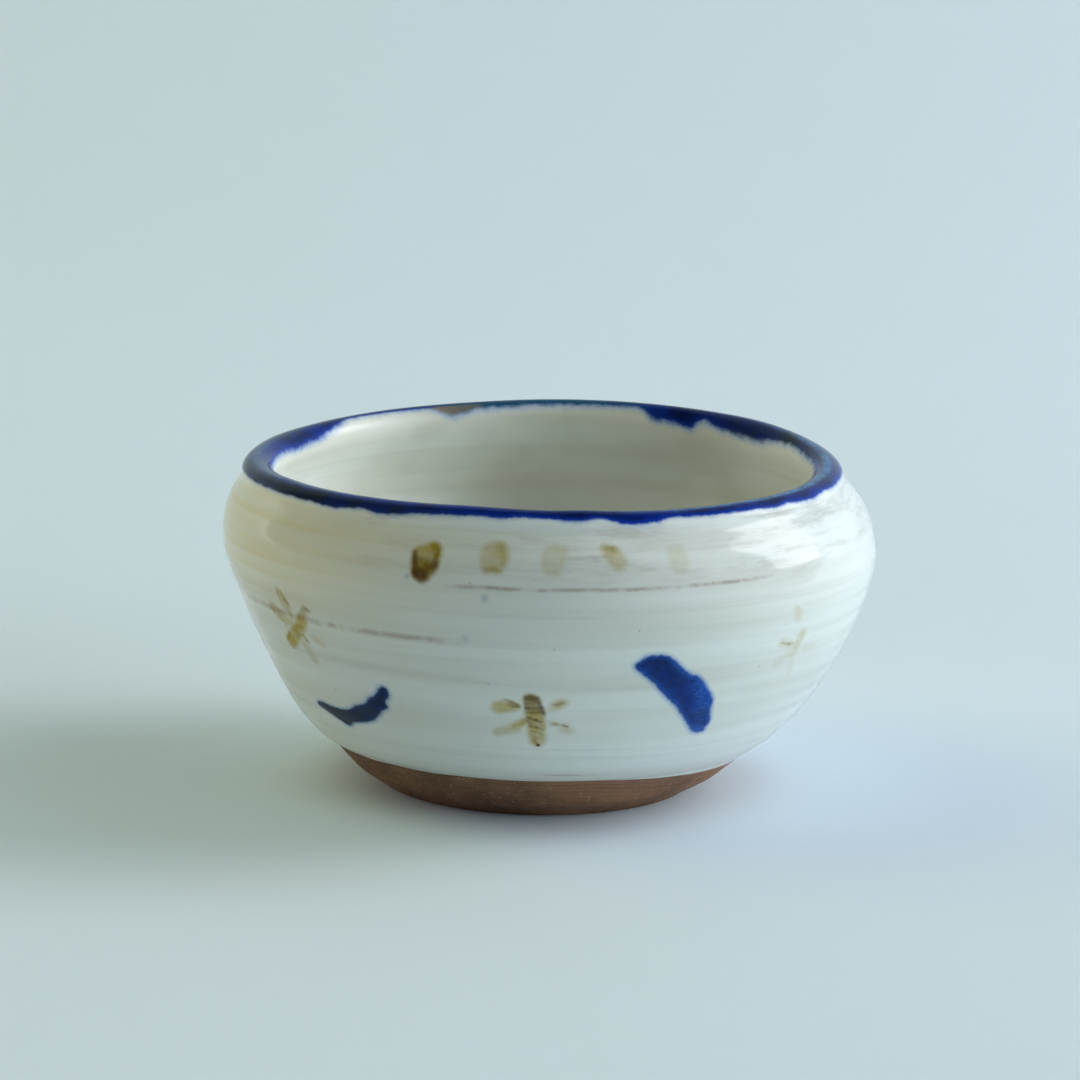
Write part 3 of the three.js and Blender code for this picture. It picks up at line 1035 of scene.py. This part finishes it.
@dataclass(frozen=True)
class BrushPull:
    """The outline of a loaded brush's pull, in the mark's own millimetres, and where it ran thin."""

    outline: Pairs
    thin: tuple[Blot, ...]
    area: Field
    load: Pair
    load_reach: float = 6.0

    def ink(self, across: Array, up: Array) -> Ink:
        """Works out the colour at each place of the mark.

        Args:
            across: Millimetres to the right of its middle.
            up: Millimetres above it.

        Returns:
            How far each place lies inside the pull, how thin the colour ran and how loaded the brush was.
        """
        thin = np.zeros(across.shape)
        for blot in self.thin:
            thin = np.maximum(thin, blot.strength * smooth(blot.inside(across, up), -blot.soft, blot.soft))
        edge = signed_distance(rounded(self.outline, 2), across, up)
        load = self.load[0] + (self.load[1] - self.load[0]) * smooth(across, -self.load_reach, self.load_reach)
        return {"edge": np.clip(edge, -EDGE_REACH, EDGE_REACH), "thin": thin, "load": load}


BROAD_PULL = BrushPull(
    outline=(
        (-7.4, 5.8), (-6.6, 6.4), (-5.7, 7.2), (-4.2, 7.2), (-2.9, 7.1), (-1.7, 6.3), (-0.7, 5.2), (0.4, 4.1),
        (1.1, 3.5), (2.6, 3.0), (3.9, 1.8), (4.7, 0.6), (5.7, -0.5), (6.6, -1.8), (6.7, -3.2), (6.9, -4.2), (7.5, -5.4),
        (7.7, -6.6), (7.3, -7.5), (7.6, -8.0), (6.8, -8.3), (5.5, -8.2), (4.5, -7.4), (2.9, -5.6), (1.3, -3.7),
        (0.0, -2.1), (-1.1, -1.2), (-3.1, 0.8), (-4.1, 2.2), (-6.1, 3.9), (-7.4, 5.0),
    ),
    thin=touches(
        (3.4, 1.0, 5.5, -2.6, 2.4, 1.0, 1.2), (5.2, -7.1, 7.0, -7.6, 1.4, 1.0, 0.9),
        (4.2, -3.4, 6.4, -5.6, 1.8, 0.5, 1.0), (-1.6, 5.6, 1.6, 2.8, 1.2, 0.55, 1.0),
        (-2.6, 1.4, 0.6, -1.9, 1.0, 0.4, 0.9), (-5.6, 4.6, -4.6, 3.8, 1.0, 0.3, 0.8),
    ),
    area=Field((0.1, -0.4), 11.7, 4.7, -46.5, 40, 160),
    load=(0.14, 0.0),
)
CRESCENT_PULL = BrushPull(
    outline=(
        (-10.1, -1.3), (-9.6, -0.8), (-8.5, -0.6), (-6.5, -0.8), (-4.5, -0.9), (-2.8, -0.8), (-1.4, -0.3), (-0.6, 0.3),
        (0.4, 0.9), (1.6, 1.3), (2.4, 1.6), (3.0, 2.5), (3.8, 3.1), (4.6, 3.5), (5.3, 4.4), (6.0, 5.4), (6.7, 5.7),
        (7.3, 5.4), (7.5, 4.5), (7.3, 3.8), (6.8, 3.2), (6.4, 2.5), (6.7, 1.9), (6.4, 1.4), (5.4, 0.9), (4.9, 0.1),
        (3.8, -0.9), (3.0, -1.6), (1.6, -2.2), (0.0, -2.7), (-1.5, -3.1), (-2.4, -3.5), (-3.0, -4.1), (-4.0, -4.2),
        (-5.0, -3.7), (-6.4, -3.1), (-7.8, -2.5), (-9.0, -2.0), (-9.9, -1.7),
    ),
    thin=touches((2.4, 0.2, 5.2, 1.4, 1.2, 0.2, 0.9), (-1.0, 0.4, 3.0, 2.4, 0.8, 0.3, 0.8)),
    area=Field((-1.2, 0.3), 10.9, 5.3, 26.0, 40, 160),
    load=(1.0, 0.75),
)


@dataclass
class Strokes(Marks):
    """The six cobalt pulls of the brush, between the bees."""

    slot: ClassVar[Slot] = Slot.COBALT
    lift: float = 0.03
    pulls: tuple[tuple[Spot, BrushPull], ...] = (
        (Spot(24, 0.385), BROAD_PULL),
        (Spot(84, 0.34, 75), BROAD_PULL),
        (Spot(143, 0.352, -15), CRESCENT_PULL),
        (Spot(206, 0.295, 12), BROAD_PULL),
        (Spot(272, 0.374, 20), CRESCENT_PULL),
        (Spot(-42, 0.251), CRESCENT_PULL),
    )

    def films(self) -> Iterator[Film]:
        """Names the pulls from the right front round the bowl."""
        for number, (spot, pull) in enumerate(self.pulls, 1):
            yield Film(f"blue_stroke_{number}", "brushwork", spot, pull.area, self.lift, pull.ink)


# Finishes


class Value:
    """A number or a colour in a material, whose sums are written as sums."""

    def __init__(self, sheet: "Sheet", socket: bpy.types.NodeSocket) -> None:
        """Keeps the socket that gives the value."""
        self.sheet, self.socket = sheet, socket

    def sum(self, operation: str, other: object = 0.0) -> "Value":
        """Works out a number from this one and another one."""
        return Value(self.sheet, self.sheet.add("Math", self, other, operation=operation).outputs[0])

    def __add__(self, other: object) -> "Value":
        """Adds another value."""
        return self.sum("ADD", other)

    def __sub__(self, other: object) -> "Value":
        """Takes another value away."""
        return self.sum("SUBTRACT", other)

    def __mul__(self, other: object) -> "Value":
        """Multiplies by another value."""
        return self.sum("MULTIPLY", other)

    def __abs__(self) -> "Value":
        """Leaves the sign away."""
        return self.sum("ABSOLUTE")

    def rise(self, low: object, high: object, start: object = 0.0, end: object = 1.0) -> "Value":
        """Goes softly from start to end as the value goes from low to high."""
        node = self.sheet.add("MapRange", self, low, high, start, end, interpolation_type="SMOOTHSTEP")
        return Value(self.sheet, node.outputs[0])


class Paint(NamedTuple):
    """What a finish hands on to the shader."""

    colour: Value
    roughness: Value
    height: Value


class Sheet:
    """A material's node tree, with short ways to add nodes and join them."""

    def __init__(self, name: str) -> None:
        """Makes an empty material, which knows where each place of it lies.

        Args:
            name: The material's name.
        """
        self.material = bpy.data.materials.new(name)
        self.material.use_nodes = True
        self.tree = self.material.node_tree
        self.tree.nodes.clear()
        self.position = Value(self, self.add("TexCoord").outputs["Object"])
        self.x, self.y, _ = (Value(self, socket) for socket in self.add("SeparateXYZ", self.position).outputs)

    def add(self, kind: str, *inputs: object, **settings: object) -> bpy.types.Node:
        """Adds a node.

        Args:
            kind: Its type, without the words that all types start with.
            inputs: What its sockets are fed, in order.
            settings: Its settings.

        Returns:
            The node.
        """
        node = self.tree.nodes.new(f"ShaderNode{kind}")
        for key, value in settings.items():
            setattr(node, key, value)
        for socket, value in zip(node.inputs, inputs):
            self.feed(socket, value)
        return node

    def feed(self, socket: bpy.types.NodeSocket, value: object) -> None:
        """Joins a socket to a value, or sets its own.

        Args:
            socket: The socket.
            value: A value of this material, a colour, a place or a number.
        """
        if isinstance(value, Value):
            self.tree.links.new(value.socket, socket)
        elif isinstance(value, tuple) and socket.type == "RGBA":
            socket.default_value = (*value, 1.0)
        else:
            socket.default_value = value

    def fill(self, node: bpy.types.Node, **inputs: object) -> Value:
        """Feeds a node's sockets by their names, with _ for a space.

        Args:
            node: The node.
            inputs: What each socket is fed.

        Returns:
            What the node gives.
        """
        for key, value in inputs.items():
            self.feed(node.inputs[key.replace("_", " ")], value)
        return Value(self, node.outputs[0])

    def read(self, name: str) -> Value:
        """Reads a value that the mesh carries."""
        return Value(self, self.add("Attribute", attribute_name=name).outputs["Fac"])

    def mix(self, share: object, first: object, second: object, blend: str = "MIX") -> Value:
        """Mixes two colours.

        Args:
            share: How much of the second there is.
            first: The first colour.
            second: The second colour.
            blend: How they mix.

        Returns:
            The mixed colour.
        """
        node = self.add("Mix", share, data_type="RGBA", blend_type=blend)
        self.feed(node.inputs[6], first)
        self.feed(node.inputs[7], second)
        return Value(self, node.outputs[2])

    def layers(self, colour: object, *over: tuple[object, object]) -> Value:
        """Lays colours over a first one.

        Args:
            colour: The first colour.
            over: The share of each colour laid over it, and the colour, in order.

        Returns:
            The colour that they make together.
        """
        for share, laid in over:
            colour = self.mix(share, colour, laid)
        return colour

    def noise(self, scale: float, detail: float = 2.0, rough: float = 0.5, vector: Value | None = None) -> Value:
        """Adds a cloudy pattern, from 0 to 1."""
        inputs = {"Vector": vector or self.position, "Scale": scale, "Detail": detail, "Roughness": rough}
        return self.fill(self.add("TexNoise"), **inputs)

    def grains(self, scale: float) -> Value:
        """Adds a pattern of grains: how far each place lies from the nearest one."""
        return self.fill(self.add("TexVoronoi"), Vector=self.position, Scale=scale)

    def join(self, x: Value, y: Value, z: Value | float) -> Value:
        """Makes a vector of three numbers."""
        return Value(self, self.add("CombineXYZ", x, y, z).outputs[0])

    def streaks(self, round_scale: float, rise_scale: float, detail: float = 3.0, rough: float = 0.55) -> Value:
        """Adds streaks round the bowl, with a scale for each metre round it and each millimetre up it."""
        vector = self.join(self.x * round_scale, self.y * round_scale, self.read("along") * rise_scale)
        return self.noise(1.0, detail, rough, vector)

    def near(self, place: Array, size: float) -> Value:
        """Marks a soft spot round a place in millimetres: 1 in its middle, 0 a size away."""
        node = self.add("VectorMath", self.position, tuple(float(v) * MM for v in place), operation="DISTANCE")
        return Value(self, node.outputs["Value"]).rise(0.0, size * MM, 1.0, 0.0)

    def finish(self, paint: Paint, bump: float, reach: float, **surface: object) -> Material:
        """Joins a paint to the shader, with a bump of this strength and this reach in metres."""
        normal = self.fill(self.add("Bump"), Strength=bump, Distance=reach, Height=paint.height)
        return self.surface(Base_Color=paint.colour, Roughness=paint.roughness, Normal=normal, **surface)

    def surface(self, **inputs: object) -> Material:
        """Gives the material its shader."""
        self.feed(self.add("OutputMaterial").inputs["Surface"], self.fill(self.add("BsdfPrincipled"), **inputs))
        return self.material


@dataclass(frozen=True)
class HairLine:
    """A thin line of clay that the glaze drew back from, running round part of the wall."""

    along: float
    slope: float
    width: float
    left: float
    right: float
    strength: float
    fade: float = 5.0

    def share(self, sheet: Sheet, along: Value) -> Value:
        """Draws the line: broken, a little wavy, and only on the front.

        Args:
            sheet: The material.
            along: Distances along the section.

        Returns:
            How strongly it shows at each place.
        """
        x, front = sheet.x, sheet.y.rise(0.0, -0.012)
        wave = (sheet.noise(90, 2) - 0.5) * 0.7
        off = abs(along - (x * (self.slope / MM) + self.along + wave))
        span = x.rise(self.left * MM, (self.left + self.fade) * MM) * front
        span = span * x.rise(self.right * MM, (self.right - self.fade) * MM)
        broken = sheet.noise(260, 3, 0.7).rise(0.36, 0.6, 0.2, 1.0)
        return off.rise(0.0, self.width * 1.6, self.strength, 0.0) * span * broken


@dataclass(frozen=True)
class WhiteGlaze:
    """Brushed white slip under a clear glaze: streaked, smudged and thin in places, with painted warm light laid as
    amber streaks on the upper left of the wall.
    """

    form: Form
    milk: Tone = tone(222, 228, 223)
    thin: Tone = tone(210, 214, 206)
    grey: Tone = tone(168, 171, 162)
    # painted warm light: the amber laid on the upper left of the wall
    painted_warm_light: Tone = tone(210, 198, 142)
    smudge: Tone = tone(132, 124, 106)
    rust: Tone = tone(140, 118, 98)
    blue_grey: Tone = tone(120, 134, 158)
    lines: tuple[HairLine, ...] = (
        HairLine(36.45, 0.014, 0.32, -16.0, 34.0, 0.62),
        HairLine(27.75, 0.006, 0.56, -47.0, -11.0, 0.55),
        HairLine(2.2, 0.0, 0.22, -3.0, 11.0, 0.5),
    )
    specks: tuple[tuple[Spot, float, float], ...] = (
        (Spot(-10.5, 0.707), 1.0, 0.42), (Spot(-14.5, 0.575), 1.1, 0.3), (Spot(-23.8, 0.754), 0.8, 0.38)
    )

    def speck(self, sheet: Sheet, spot: Spot, size: float, strength: float) -> Value:
        """Draws one soft speck."""
        return sheet.near(self.form.place(math.radians(spot.angle), spot.rise * self.form.crest), size) * strength

    def paint(self, sheet: Sheet) -> Paint:
        """Builds the white glaze.

        Args:
            sheet: The material to build it in.

        Returns:
            Its colour, roughness and height.
        """
        along, x, cloud = sheet.read("along"), sheet.x, sheet.noise(45, 3)
        middle, fine = sheet.streaks(16, 0.75, 4, 0.6), sheet.streaks(26, 3.2, 3, 0.6)
        shade = along.rise(34, 41) * along.rise(49.5, 45) * sheet.streaks(60, 0.34, 4, 0.7).rise(0.44, 0.7)
        shade = shade * cloud.rise(0.36, 0.62, 0.1, 0.5) * x.rise(-0.034, -0.018, 0.12, 1.0)
        # painted warm light: amber streaks on the upper left of the wall, where warm light from the left falls
        painted_warm_light_mask = x.rise(-0.008, -0.046) * along.rise(20, 38) * middle.rise(0.2, 0.7, 0.26, 0.66)
        grain = sheet.grains(420).rise(0.10, 0.04) * sheet.noise(140, 1).rise(0.6, 0.68)
        colour = sheet.layers(
            self.milk,
            (sheet.streaks(11, 0.16, 2).rise(0.35, 0.68), self.thin),
            (middle.rise(0.48, 0.76) * 0.22, self.grey),
            (fine.rise(0.5, 0.78) * 0.1, self.grey),
            (shade, self.smudge),
            (painted_warm_light_mask, self.painted_warm_light),
            *((line.share(sheet, along), self.rust) for line in self.lines),
            *((self.speck(sheet, *speck), self.blue_grey) for speck in self.specks),
            (grain * 0.45, self.smudge),
        )
        return Paint(colour, middle.rise(0.3, 0.8, 0.07, 0.14), middle * 0.22 + cloud * 0.8 + fine * 0.06)


@dataclass(frozen=True)
class CreamGlaze:
    """The glaze of the inside: warmer, with the brush's rings and soft brown clouds, and painted shade that greys it
    towards the right.
    """

    cream: Tone = tone(244, 250, 246)
    warm: Tone = tone(230, 232, 222)
    grey: Tone = tone(172, 169, 150)

    def paint(self, sheet: Sheet) -> Paint:
        """Builds the cream glaze.

        Args:
            sheet: The material to build it in.

        Returns:
            Its colour, roughness and height.
        """
        middle, cloud = sheet.streaks(13, 0.5, 4, 0.6), sheet.noise(38, 3)
        colour = sheet.layers(
            self.cream,
            (sheet.streaks(9, 0.13, 2).rise(0.36, 0.66), self.warm),
            (middle.rise(0.46, 0.76) * 0.18, self.grey),
            (sheet.streaks(24, 2.4, 3, 0.6).rise(0.52, 0.8) * 0.1, self.grey),
            (cloud.rise(0.5, 0.68, 0.0, 0.3), self.grey),
            # painted shade: greyer towards the right, where the inner wall faces away from the light
            (sheet.x.rise(-0.03, 0.006, 0.0, 0.3), self.grey),
        )
        return Paint(colour, middle.rise(0.3, 0.8, 0.15, 0.26), middle * 0.8 + cloud)


@dataclass(frozen=True)
class CobaltBand:
    """Runny cobalt over the lip: bright at its edges, nearly black where it pooled, worn along the crest, with a
    painted highlight along the crest and, on the back, teal glaze with a painted reflection.
    """

    bleed: Tone = tone(116, 158, 210)
    bright: Tone = tone(18, 54, 158)
    middle: Tone = tone(12, 36, 122)
    deep: Tone = tone(11, 26, 76)
    worn: Tone = tone(31, 41, 54)
    rust: Tone = tone(178, 142, 96)
    # painted highlight: the light cyan line along the crest
    crest: Tone = tone(66, 128, 184)
    # teal of the thin glaze on the back of the band, with a painted reflection along the back rim
    teal_and_reflection: Tone = tone(30, 84, 102)
    roughness: Tone = (0.14, 0.14, 0.14)

    def over(self, sheet: Sheet, under: Paint) -> Paint:
        """Lays the band over the glazes of the wall.

        Args:
            sheet: The material.
            under: The glaze under it.

        Returns:
            The glaze with the band on it.
        """
        crest, x, y = sheet.read("crest_distance"), sheet.x, sheet.y

        def by_side(outside: float, inside: float) -> Value:
            """One value outside the crest and another inside it."""
            return crest.rise(0.5, 1.5, outside, inside)

        ragged = sheet.noise(620, 4, 0.65) - 0.5
        place = sheet.read("band") + ragged * (by_side(0.0, 0.5) + 0.8)
        blotchy = sheet.noise(75, 4, 0.65).rise(0.4, 0.62, 0.0, 0.85)
        wear = blotchy * abs(crest).rise(1.1, 0.2, 0.0, 0.55)
        for part in (
            x.rise(-0.008, -0.024) * y.rise(0.006, -0.006) * crest.rise(-0.6, -1.5),
            x.rise(0.022, 0.034) * y.rise(0.002, 0.012) * crest.rise(-0.2, 0.8),
        ):
            wear = wear.sum("MAXIMUM", part * blotchy.rise(0.0, 0.5, 0.55, 0.95))
        thin = x.rise(-0.0205, -0.0185) * x.rise(-0.0105, -0.0125) * y.rise(0.02, 0.03) * crest.rise(0.7, 1.5)
        # painted highlight along the crest: strongest at the right end, where the lamps shine on it, fainter at the
        # left end
        ends = x.rise(0.0, 0.036, 0.0, 0.9).sum("MAXIMUM", x.rise(-0.02, -0.04, 0.0, 0.35))
        broken = sheet.noise(240, 3, 0.7).rise(0.34, 0.6, 0.2, 0.85)
        painted_crest_highlight = abs(crest - 0.1).rise(1.1, 0.2) * broken * ends
        # the back of the band: teal glaze, and a painted reflection along the back rim
        back_tint_and_reflection = x.rise(-0.026, -0.012) * x.rise(0.02, 0.006, 0.0, 0.7)
        blue = sheet.layers(
            self.middle,
            (sheet.noise(130, 3, 0.6).rise(0.38, 0.66), self.deep),
            (place.rise(0.15, by_side(1.0, 1.5), 0.85, 0.0), self.bright),
            (wear, self.worn),
            (thin * 0.85, self.rust),
            (painted_crest_highlight * y.rise(0.03, 0.01), self.crest),
            (back_tint_and_reflection * y.rise(0.02, 0.034), self.teal_and_reflection),
        )
        halo = place.rise(by_side(-0.8, -1.3), 0.3, 0.0, 0.68)
        cover = place.rise(by_side(-0.28, -0.4), by_side(0.3, 0.75))
        colour = sheet.layers(under.colour, (halo, self.bleed), (cover, blue))
        return Paint(colour, sheet.mix(cover, under.roughness, self.roughness), under.height)


@dataclass(frozen=True)
class IronInk:
    """Iron wash in the glaze: ochre where thin, dark brown where it stood."""

    ochre: Tone = tone(206, 178, 58)
    dark: Tone = tone(84, 56, 34)
    edge_width: float = 0.62

    def over(self, sheet: Sheet, under: Paint) -> Paint:
        """Lays the wash over the white glaze, as a filter that keeps back the blue.

        Args:
            sheet: The material.
            under: The glaze under it.

        Returns:
            The glaze with the wash in it.
        """
        grit, dark = sheet.noise(1500, 3, 0.7) - 0.5, sheet.read("dark")
        patchy = sheet.noise(700, 2, 0.6).rise(0.3, 0.7, 0.85, 1.2)
        cover = (sheet.read("edge") + grit * 0.5).rise(-self.edge_width, self.edge_width)
        colour = sheet.mix(cover * sheet.read("wash") * patchy, under.colour, self.ochre, "MULTIPLY")
        share = (dark + grit * 0.3).rise(0.0, 1.0) * dark.rise(0.0, 0.1)
        return under._replace(colour=sheet.mix(share, colour, self.dark))


@dataclass(frozen=True)
class CobaltInk:
    """Cobalt brushwork in the glaze, with the hairs' streaks where it ran thin."""

    bleed: Tone = tone(104, 152, 200)
    bright: Tone = tone(34, 90, 182)
    middle: Tone = tone(14, 48, 134)
    deep: Tone = tone(8, 32, 88)
    pool: Tone = tone(1, 9, 38)
    edge_width: float = 0.3

    def over(self, sheet: Sheet, under: Paint) -> Paint:
        """Lays the brushwork over the white glaze.

        Args:
            sheet: The material.
            under: The glaze under it.

        Returns:
            The glaze with the brushwork in it.
        """
        place = sheet.read("edge") + (sheet.noise(1500, 4, 0.65) - 0.5) * 0.55
        hairs = sheet.join(sheet.read("across") * 0.9, sheet.read("up") * 3.4, 0.0)
        streak = sheet.noise(1.0, 3, 0.65, hairs).rise(0.4, 0.62, 0.25, 1.0)
        blue = sheet.layers(
            self.deep,
            (sheet.noise(420, 3, 0.65).rise(0.36, 0.66, 0.0, 0.75), self.middle),
            (sheet.read("thin") * streak, self.bright),
            (place.rise(0.25, 1.0, 0.5, 0.0), self.bright),
            (sheet.read("load") * 0.9, self.pool),
        )
        cover = place.rise(-self.edge_width, self.edge_width)
        colour = sheet.layers(under.colour, (place.rise(-0.85, 0.0, 0.0, 0.5), self.bleed), (cover, blue))
        return under._replace(colour=colour)


@dataclass(frozen=True)
class BareClay:
    """Fired stoneware, turned on the wheel: brown, sandy and dry."""

    light: Tone = tone(145, 107, 79)
    brown: Tone = tone(110, 77, 54)
    dark: Tone = tone(70, 46, 32)
    sand: Tone = tone(196, 168, 138)
    darkest_brown: Tone = tone(58, 44, 36)
    bump: float = 0.5
    bump_reach: float = 0.00008

    def build(self, sheet: Sheet) -> Material:
        """Builds the clay's material.

        Args:
            sheet: The empty material.

        Returns:
            The material.
        """
        way, cloud, grit = sheet.read("foot"), sheet.noise(90, 4, 0.6), sheet.noise(1600, 3, 0.7)
        lines = sheet.noise(1.0, 4, 0.65, sheet.join(sheet.x * 30, sheet.y * 30, way * 1.6))
        specks = sheet.grains(900).rise(0.16, 0.08) * sheet.noise(400, 1).rise(0.5, 0.6)
        colour = sheet.layers(
            self.brown,
            (cloud.rise(0.35, 0.65), self.light),
            (lines.rise(0.48, 0.72) * 0.45, self.dark),
            (grit.rise(0.58, 0.7) * 0.5, self.sand),
            (specks * 0.75, self.darkest_brown),
            # darker within about a millimetre under the coat's lower edge
            (way.rise(1.1, 0.2, 0.0, 0.5), self.darkest_brown),
        )
        paint = Paint(colour, cloud.rise(0.3, 0.7, 0.72, 0.86), grit * 0.7 + lines * 0.6)
        return sheet.finish(paint, self.bump, self.bump_reach)


@dataclass(frozen=True)
class ClearGlaze:
    """The clear glaze that covers the paint: how strongly it shines, and in what colour."""

    level: float = 0.5
    sheen: Tone = (1.0, 1.0, 1.0)
    bump: float = 0.09
    bump_reach: float = 0.0001

    def over(self, sheet: Sheet, paint: Paint) -> Material:
        """Puts a paint under the glaze."""
        return sheet.finish(paint, self.bump, self.bump_reach, Specular_IOR_Level=self.level, Specular_Tint=self.sheen)


@dataclass(frozen=True)
class Palette:
    """Every finish of the bowl."""

    form: Form
    blue_sheen: Tone = (0.38, 0.68, 1.0)
    lip_shine: float = 0.09
    mark_shine: float = 0.3

    def build(self) -> dict[Slot, Material]:
        """Builds each material once.

        Returns:
            The material of each slot.
        """
        white, cream, band, clear = WhiteGlaze(self.form), CreamGlaze(), CobaltBand(), ClearGlaze()
        clay, wall, lip, inside, iron, cobalt = (Sheet(name) for name in (
            "sandy_brown_stoneware", "white_slip_under_clear_glaze", "runny_cobalt_glaze", "cream_glaze",
            "iron_wash_under_clear_glaze", "cobalt_brushwork_under_clear_glaze",
        ))
        share = lip.read("crest_distance").rise(-0.5, 0.5)
        meeting = Paint(*(lip.mix(share, *pair) for pair in zip(white.paint(lip), cream.paint(lip))))
        lip_clear, mark_clear = (ClearGlaze(level, self.blue_sheen) for level in (self.lip_shine, self.mark_shine))
        return {
            Slot.STONEWARE: BareClay().build(clay),
            Slot.WHITE_COAT: clear.over(wall, band.over(wall, white.paint(wall))),
            Slot.BLUE_GLAZE: lip_clear.over(lip, band.over(lip, meeting)),
            Slot.CREAM_COAT: clear.over(inside, band.over(inside, cream.paint(inside))),
            Slot.IRON: clear.over(iron, IronInk().over(iron, white.paint(iron))),
            Slot.COBALT: mark_clear.over(cobalt, CobaltInk().over(cobalt, white.paint(cobalt))),
        }


# The setting


@dataclass(frozen=True)
class Lamp:
    """One soft lamp that faces the bowl. Its bearing is measured from the back towards the right."""

    name: str
    bearing: float
    height: float
    distance: float
    size: Pair
    level: float
    colour: Tone
    seen_in_gloss: bool = True

    def hang(self, target: Vector) -> None:
        """Hangs the lamp, at a power that gives the bowl its level of light.

        Args:
            target: The place that it faces.
        """
        bearing, height = math.radians(self.bearing), math.radians(self.height)
        way = Vector((math.sin(bearing) * math.cos(height), math.cos(bearing) * math.cos(height), math.sin(height)))
        data = bpy.data.lights.new(self.name, "AREA")
        data.shape = "RECTANGLE"
        data.size, data.size_y = self.size
        data.energy = self.level * (math.pi * self.distance) ** 2
        data.color = self.colour
        lamp = put(self.name, data)
        lamp.location = target + way * self.distance
        lamp.visible_glossy = self.seen_in_gloss
        lamp.rotation_mode = "QUATERNION"
        lamp.rotation_quaternion = way.to_track_quat("Z", "Y")


@dataclass(frozen=True)
class Studio:
    """The camera, the lamps, the floor and the backdrop, in metres."""

    camera_place: tuple[float, float, float] = (-0.001473, -0.65773, 0.17527)
    camera_pitch: float = 0.2071
    camera_roll: float = 0.0219
    lens: float = 146.19
    sensor: float = 36.0
    clip: Pair = (0.02, 50.0)
    target: tuple[float, float, float] = (0.0, 0.0, 0.03)
    lamps: tuple[Lamp, ...] = (
        Lamp("window_near_pane", 80, 28, 2.0, (0.85, 1.15), 0.3, (0.95, 0.96, 1.0)),
        Lamp("window_far_pane", 52, 28, 2.0, (0.85, 1.15), 0.22, (0.95, 0.96, 1.0)),
        Lamp("bright_side", 64, 22, 2.3, (2.6, 1.8), 0.92, (0.955, 0.92, 0.97), False),
        Lamp("high_right", 78, 46, 1.8, (1.6, 1.2), 0.1, (0.9, 0.94, 1.0), False),
        Lamp("right_of_camera", 118, 16, 1.8, (1.4, 1.0), 0.5, (0.83, 0.95, 1.0), False),
        Lamp("left_warm", -85, 48, 1.8, (1.4, 1.2), 0.23, (0.96, 1.0, 0.45), False),
        Lamp("left_low", -75, 10, 1.8, (1.4, 0.8), 0.4, (1.0, 0.87, 0.84), False),
        Lamp("front_fill", 190, 40, 1.8, (1.6, 1.2), 0.05, (0.82, 0.86, 1.0), False),
    )
    floor_tone: Tone = tone(218, 232, 242)
    floor_roughness: float = 0.75
    floor_start: float = -2.5
    floor_half_width: float = 2.2
    backdrop_start: float = 0.36
    backdrop_bend: float = 0.5
    backdrop_height: float = 1.6
    world_tone: Tone = (0.88, 0.96, 1.0)
    world_strength: float = 0.02

    def place_camera(self) -> None:
        """Puts the camera where the photograph was taken from."""
        data = bpy.data.cameras.new("camera")
        data.lens, data.sensor_width = self.lens, self.sensor
        data.clip_start, data.clip_end = self.clip
        camera = put("camera", data)
        pitch = Matrix.Rotation(math.pi / 2 - self.camera_pitch, 4, "X")
        camera.matrix_world = Matrix.Translation(self.camera_place) @ pitch @ Matrix.Rotation(self.camera_roll, 4, "Z")
        bpy.context.scene.camera = camera

    def lay_floor(self) -> None:
        """Lays the floor, which bends up into the backdrop behind the bowl."""
        bend = [
            (self.backdrop_start + self.backdrop_bend * math.sin(t), self.backdrop_bend * (1 - math.cos(t)))
            for t in np.linspace(0, math.pi / 2, 25)
        ]
        line = [(self.floor_start, 0.0), (-1.0, 0.0), (0.0, 0.0)] + bend + [(bend[-1][0], self.backdrop_height)]
        points = [(side, y, z) for y, z in line for side in (-self.floor_half_width, self.floor_half_width)]
        faces = [(2 * i, 2 * i + 1, 2 * i + 3, 2 * i + 2) for i in range(len(line) - 1)]
        mesh = bpy.data.meshes.new("floor_and_backdrop")
        mesh.from_pydata(points, [], faces)
        mesh.shade_smooth()
        sheet = Sheet("pale_matt_floor")
        mesh.materials.append(sheet.surface(Base_Color=self.floor_tone, Roughness=self.floor_roughness))
        put("floor_and_backdrop", mesh)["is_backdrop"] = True

    def light_world(self) -> None:
        """Gives the room its even light."""
        world = bpy.data.worlds.new("soft_room")
        bpy.context.scene.world = world
        world.use_nodes = True
        background = world.node_tree.nodes["Background"]
        background.inputs["Color"].default_value = (*self.world_tone, 1.0)
        background.inputs["Strength"].default_value = self.world_strength

    def build(self) -> None:
        """Sets up all of it."""
        bpy.context.scene.view_settings.view_transform = "Standard"
        self.place_camera()
        for lamp in self.lamps:
            lamp.hang(Vector(self.target))
        self.lay_floor()
        self.light_world()


def main() -> None:
    """Builds the bowl in order: its clay, its coats, its marks and the setting."""
    logging.basicConfig(level=logging.INFO, format="%(name)s: %(message)s")
    form = Form(Section(), Hand())
    press = FilmPress(form)
    finishes = Palette(form).build()
    for assembly in (ClayBody(form), Coats(form), Dots(press), Bees(press), Strokes(press)):
        assembly.dress(finishes)
    Studio().build()
    boxes = {"cad": CAD_BOX, "visual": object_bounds()}
    {name: [list(corner) for corner in box] for name, box in boxes.items()}


if __name__ == "__main__":
    main()
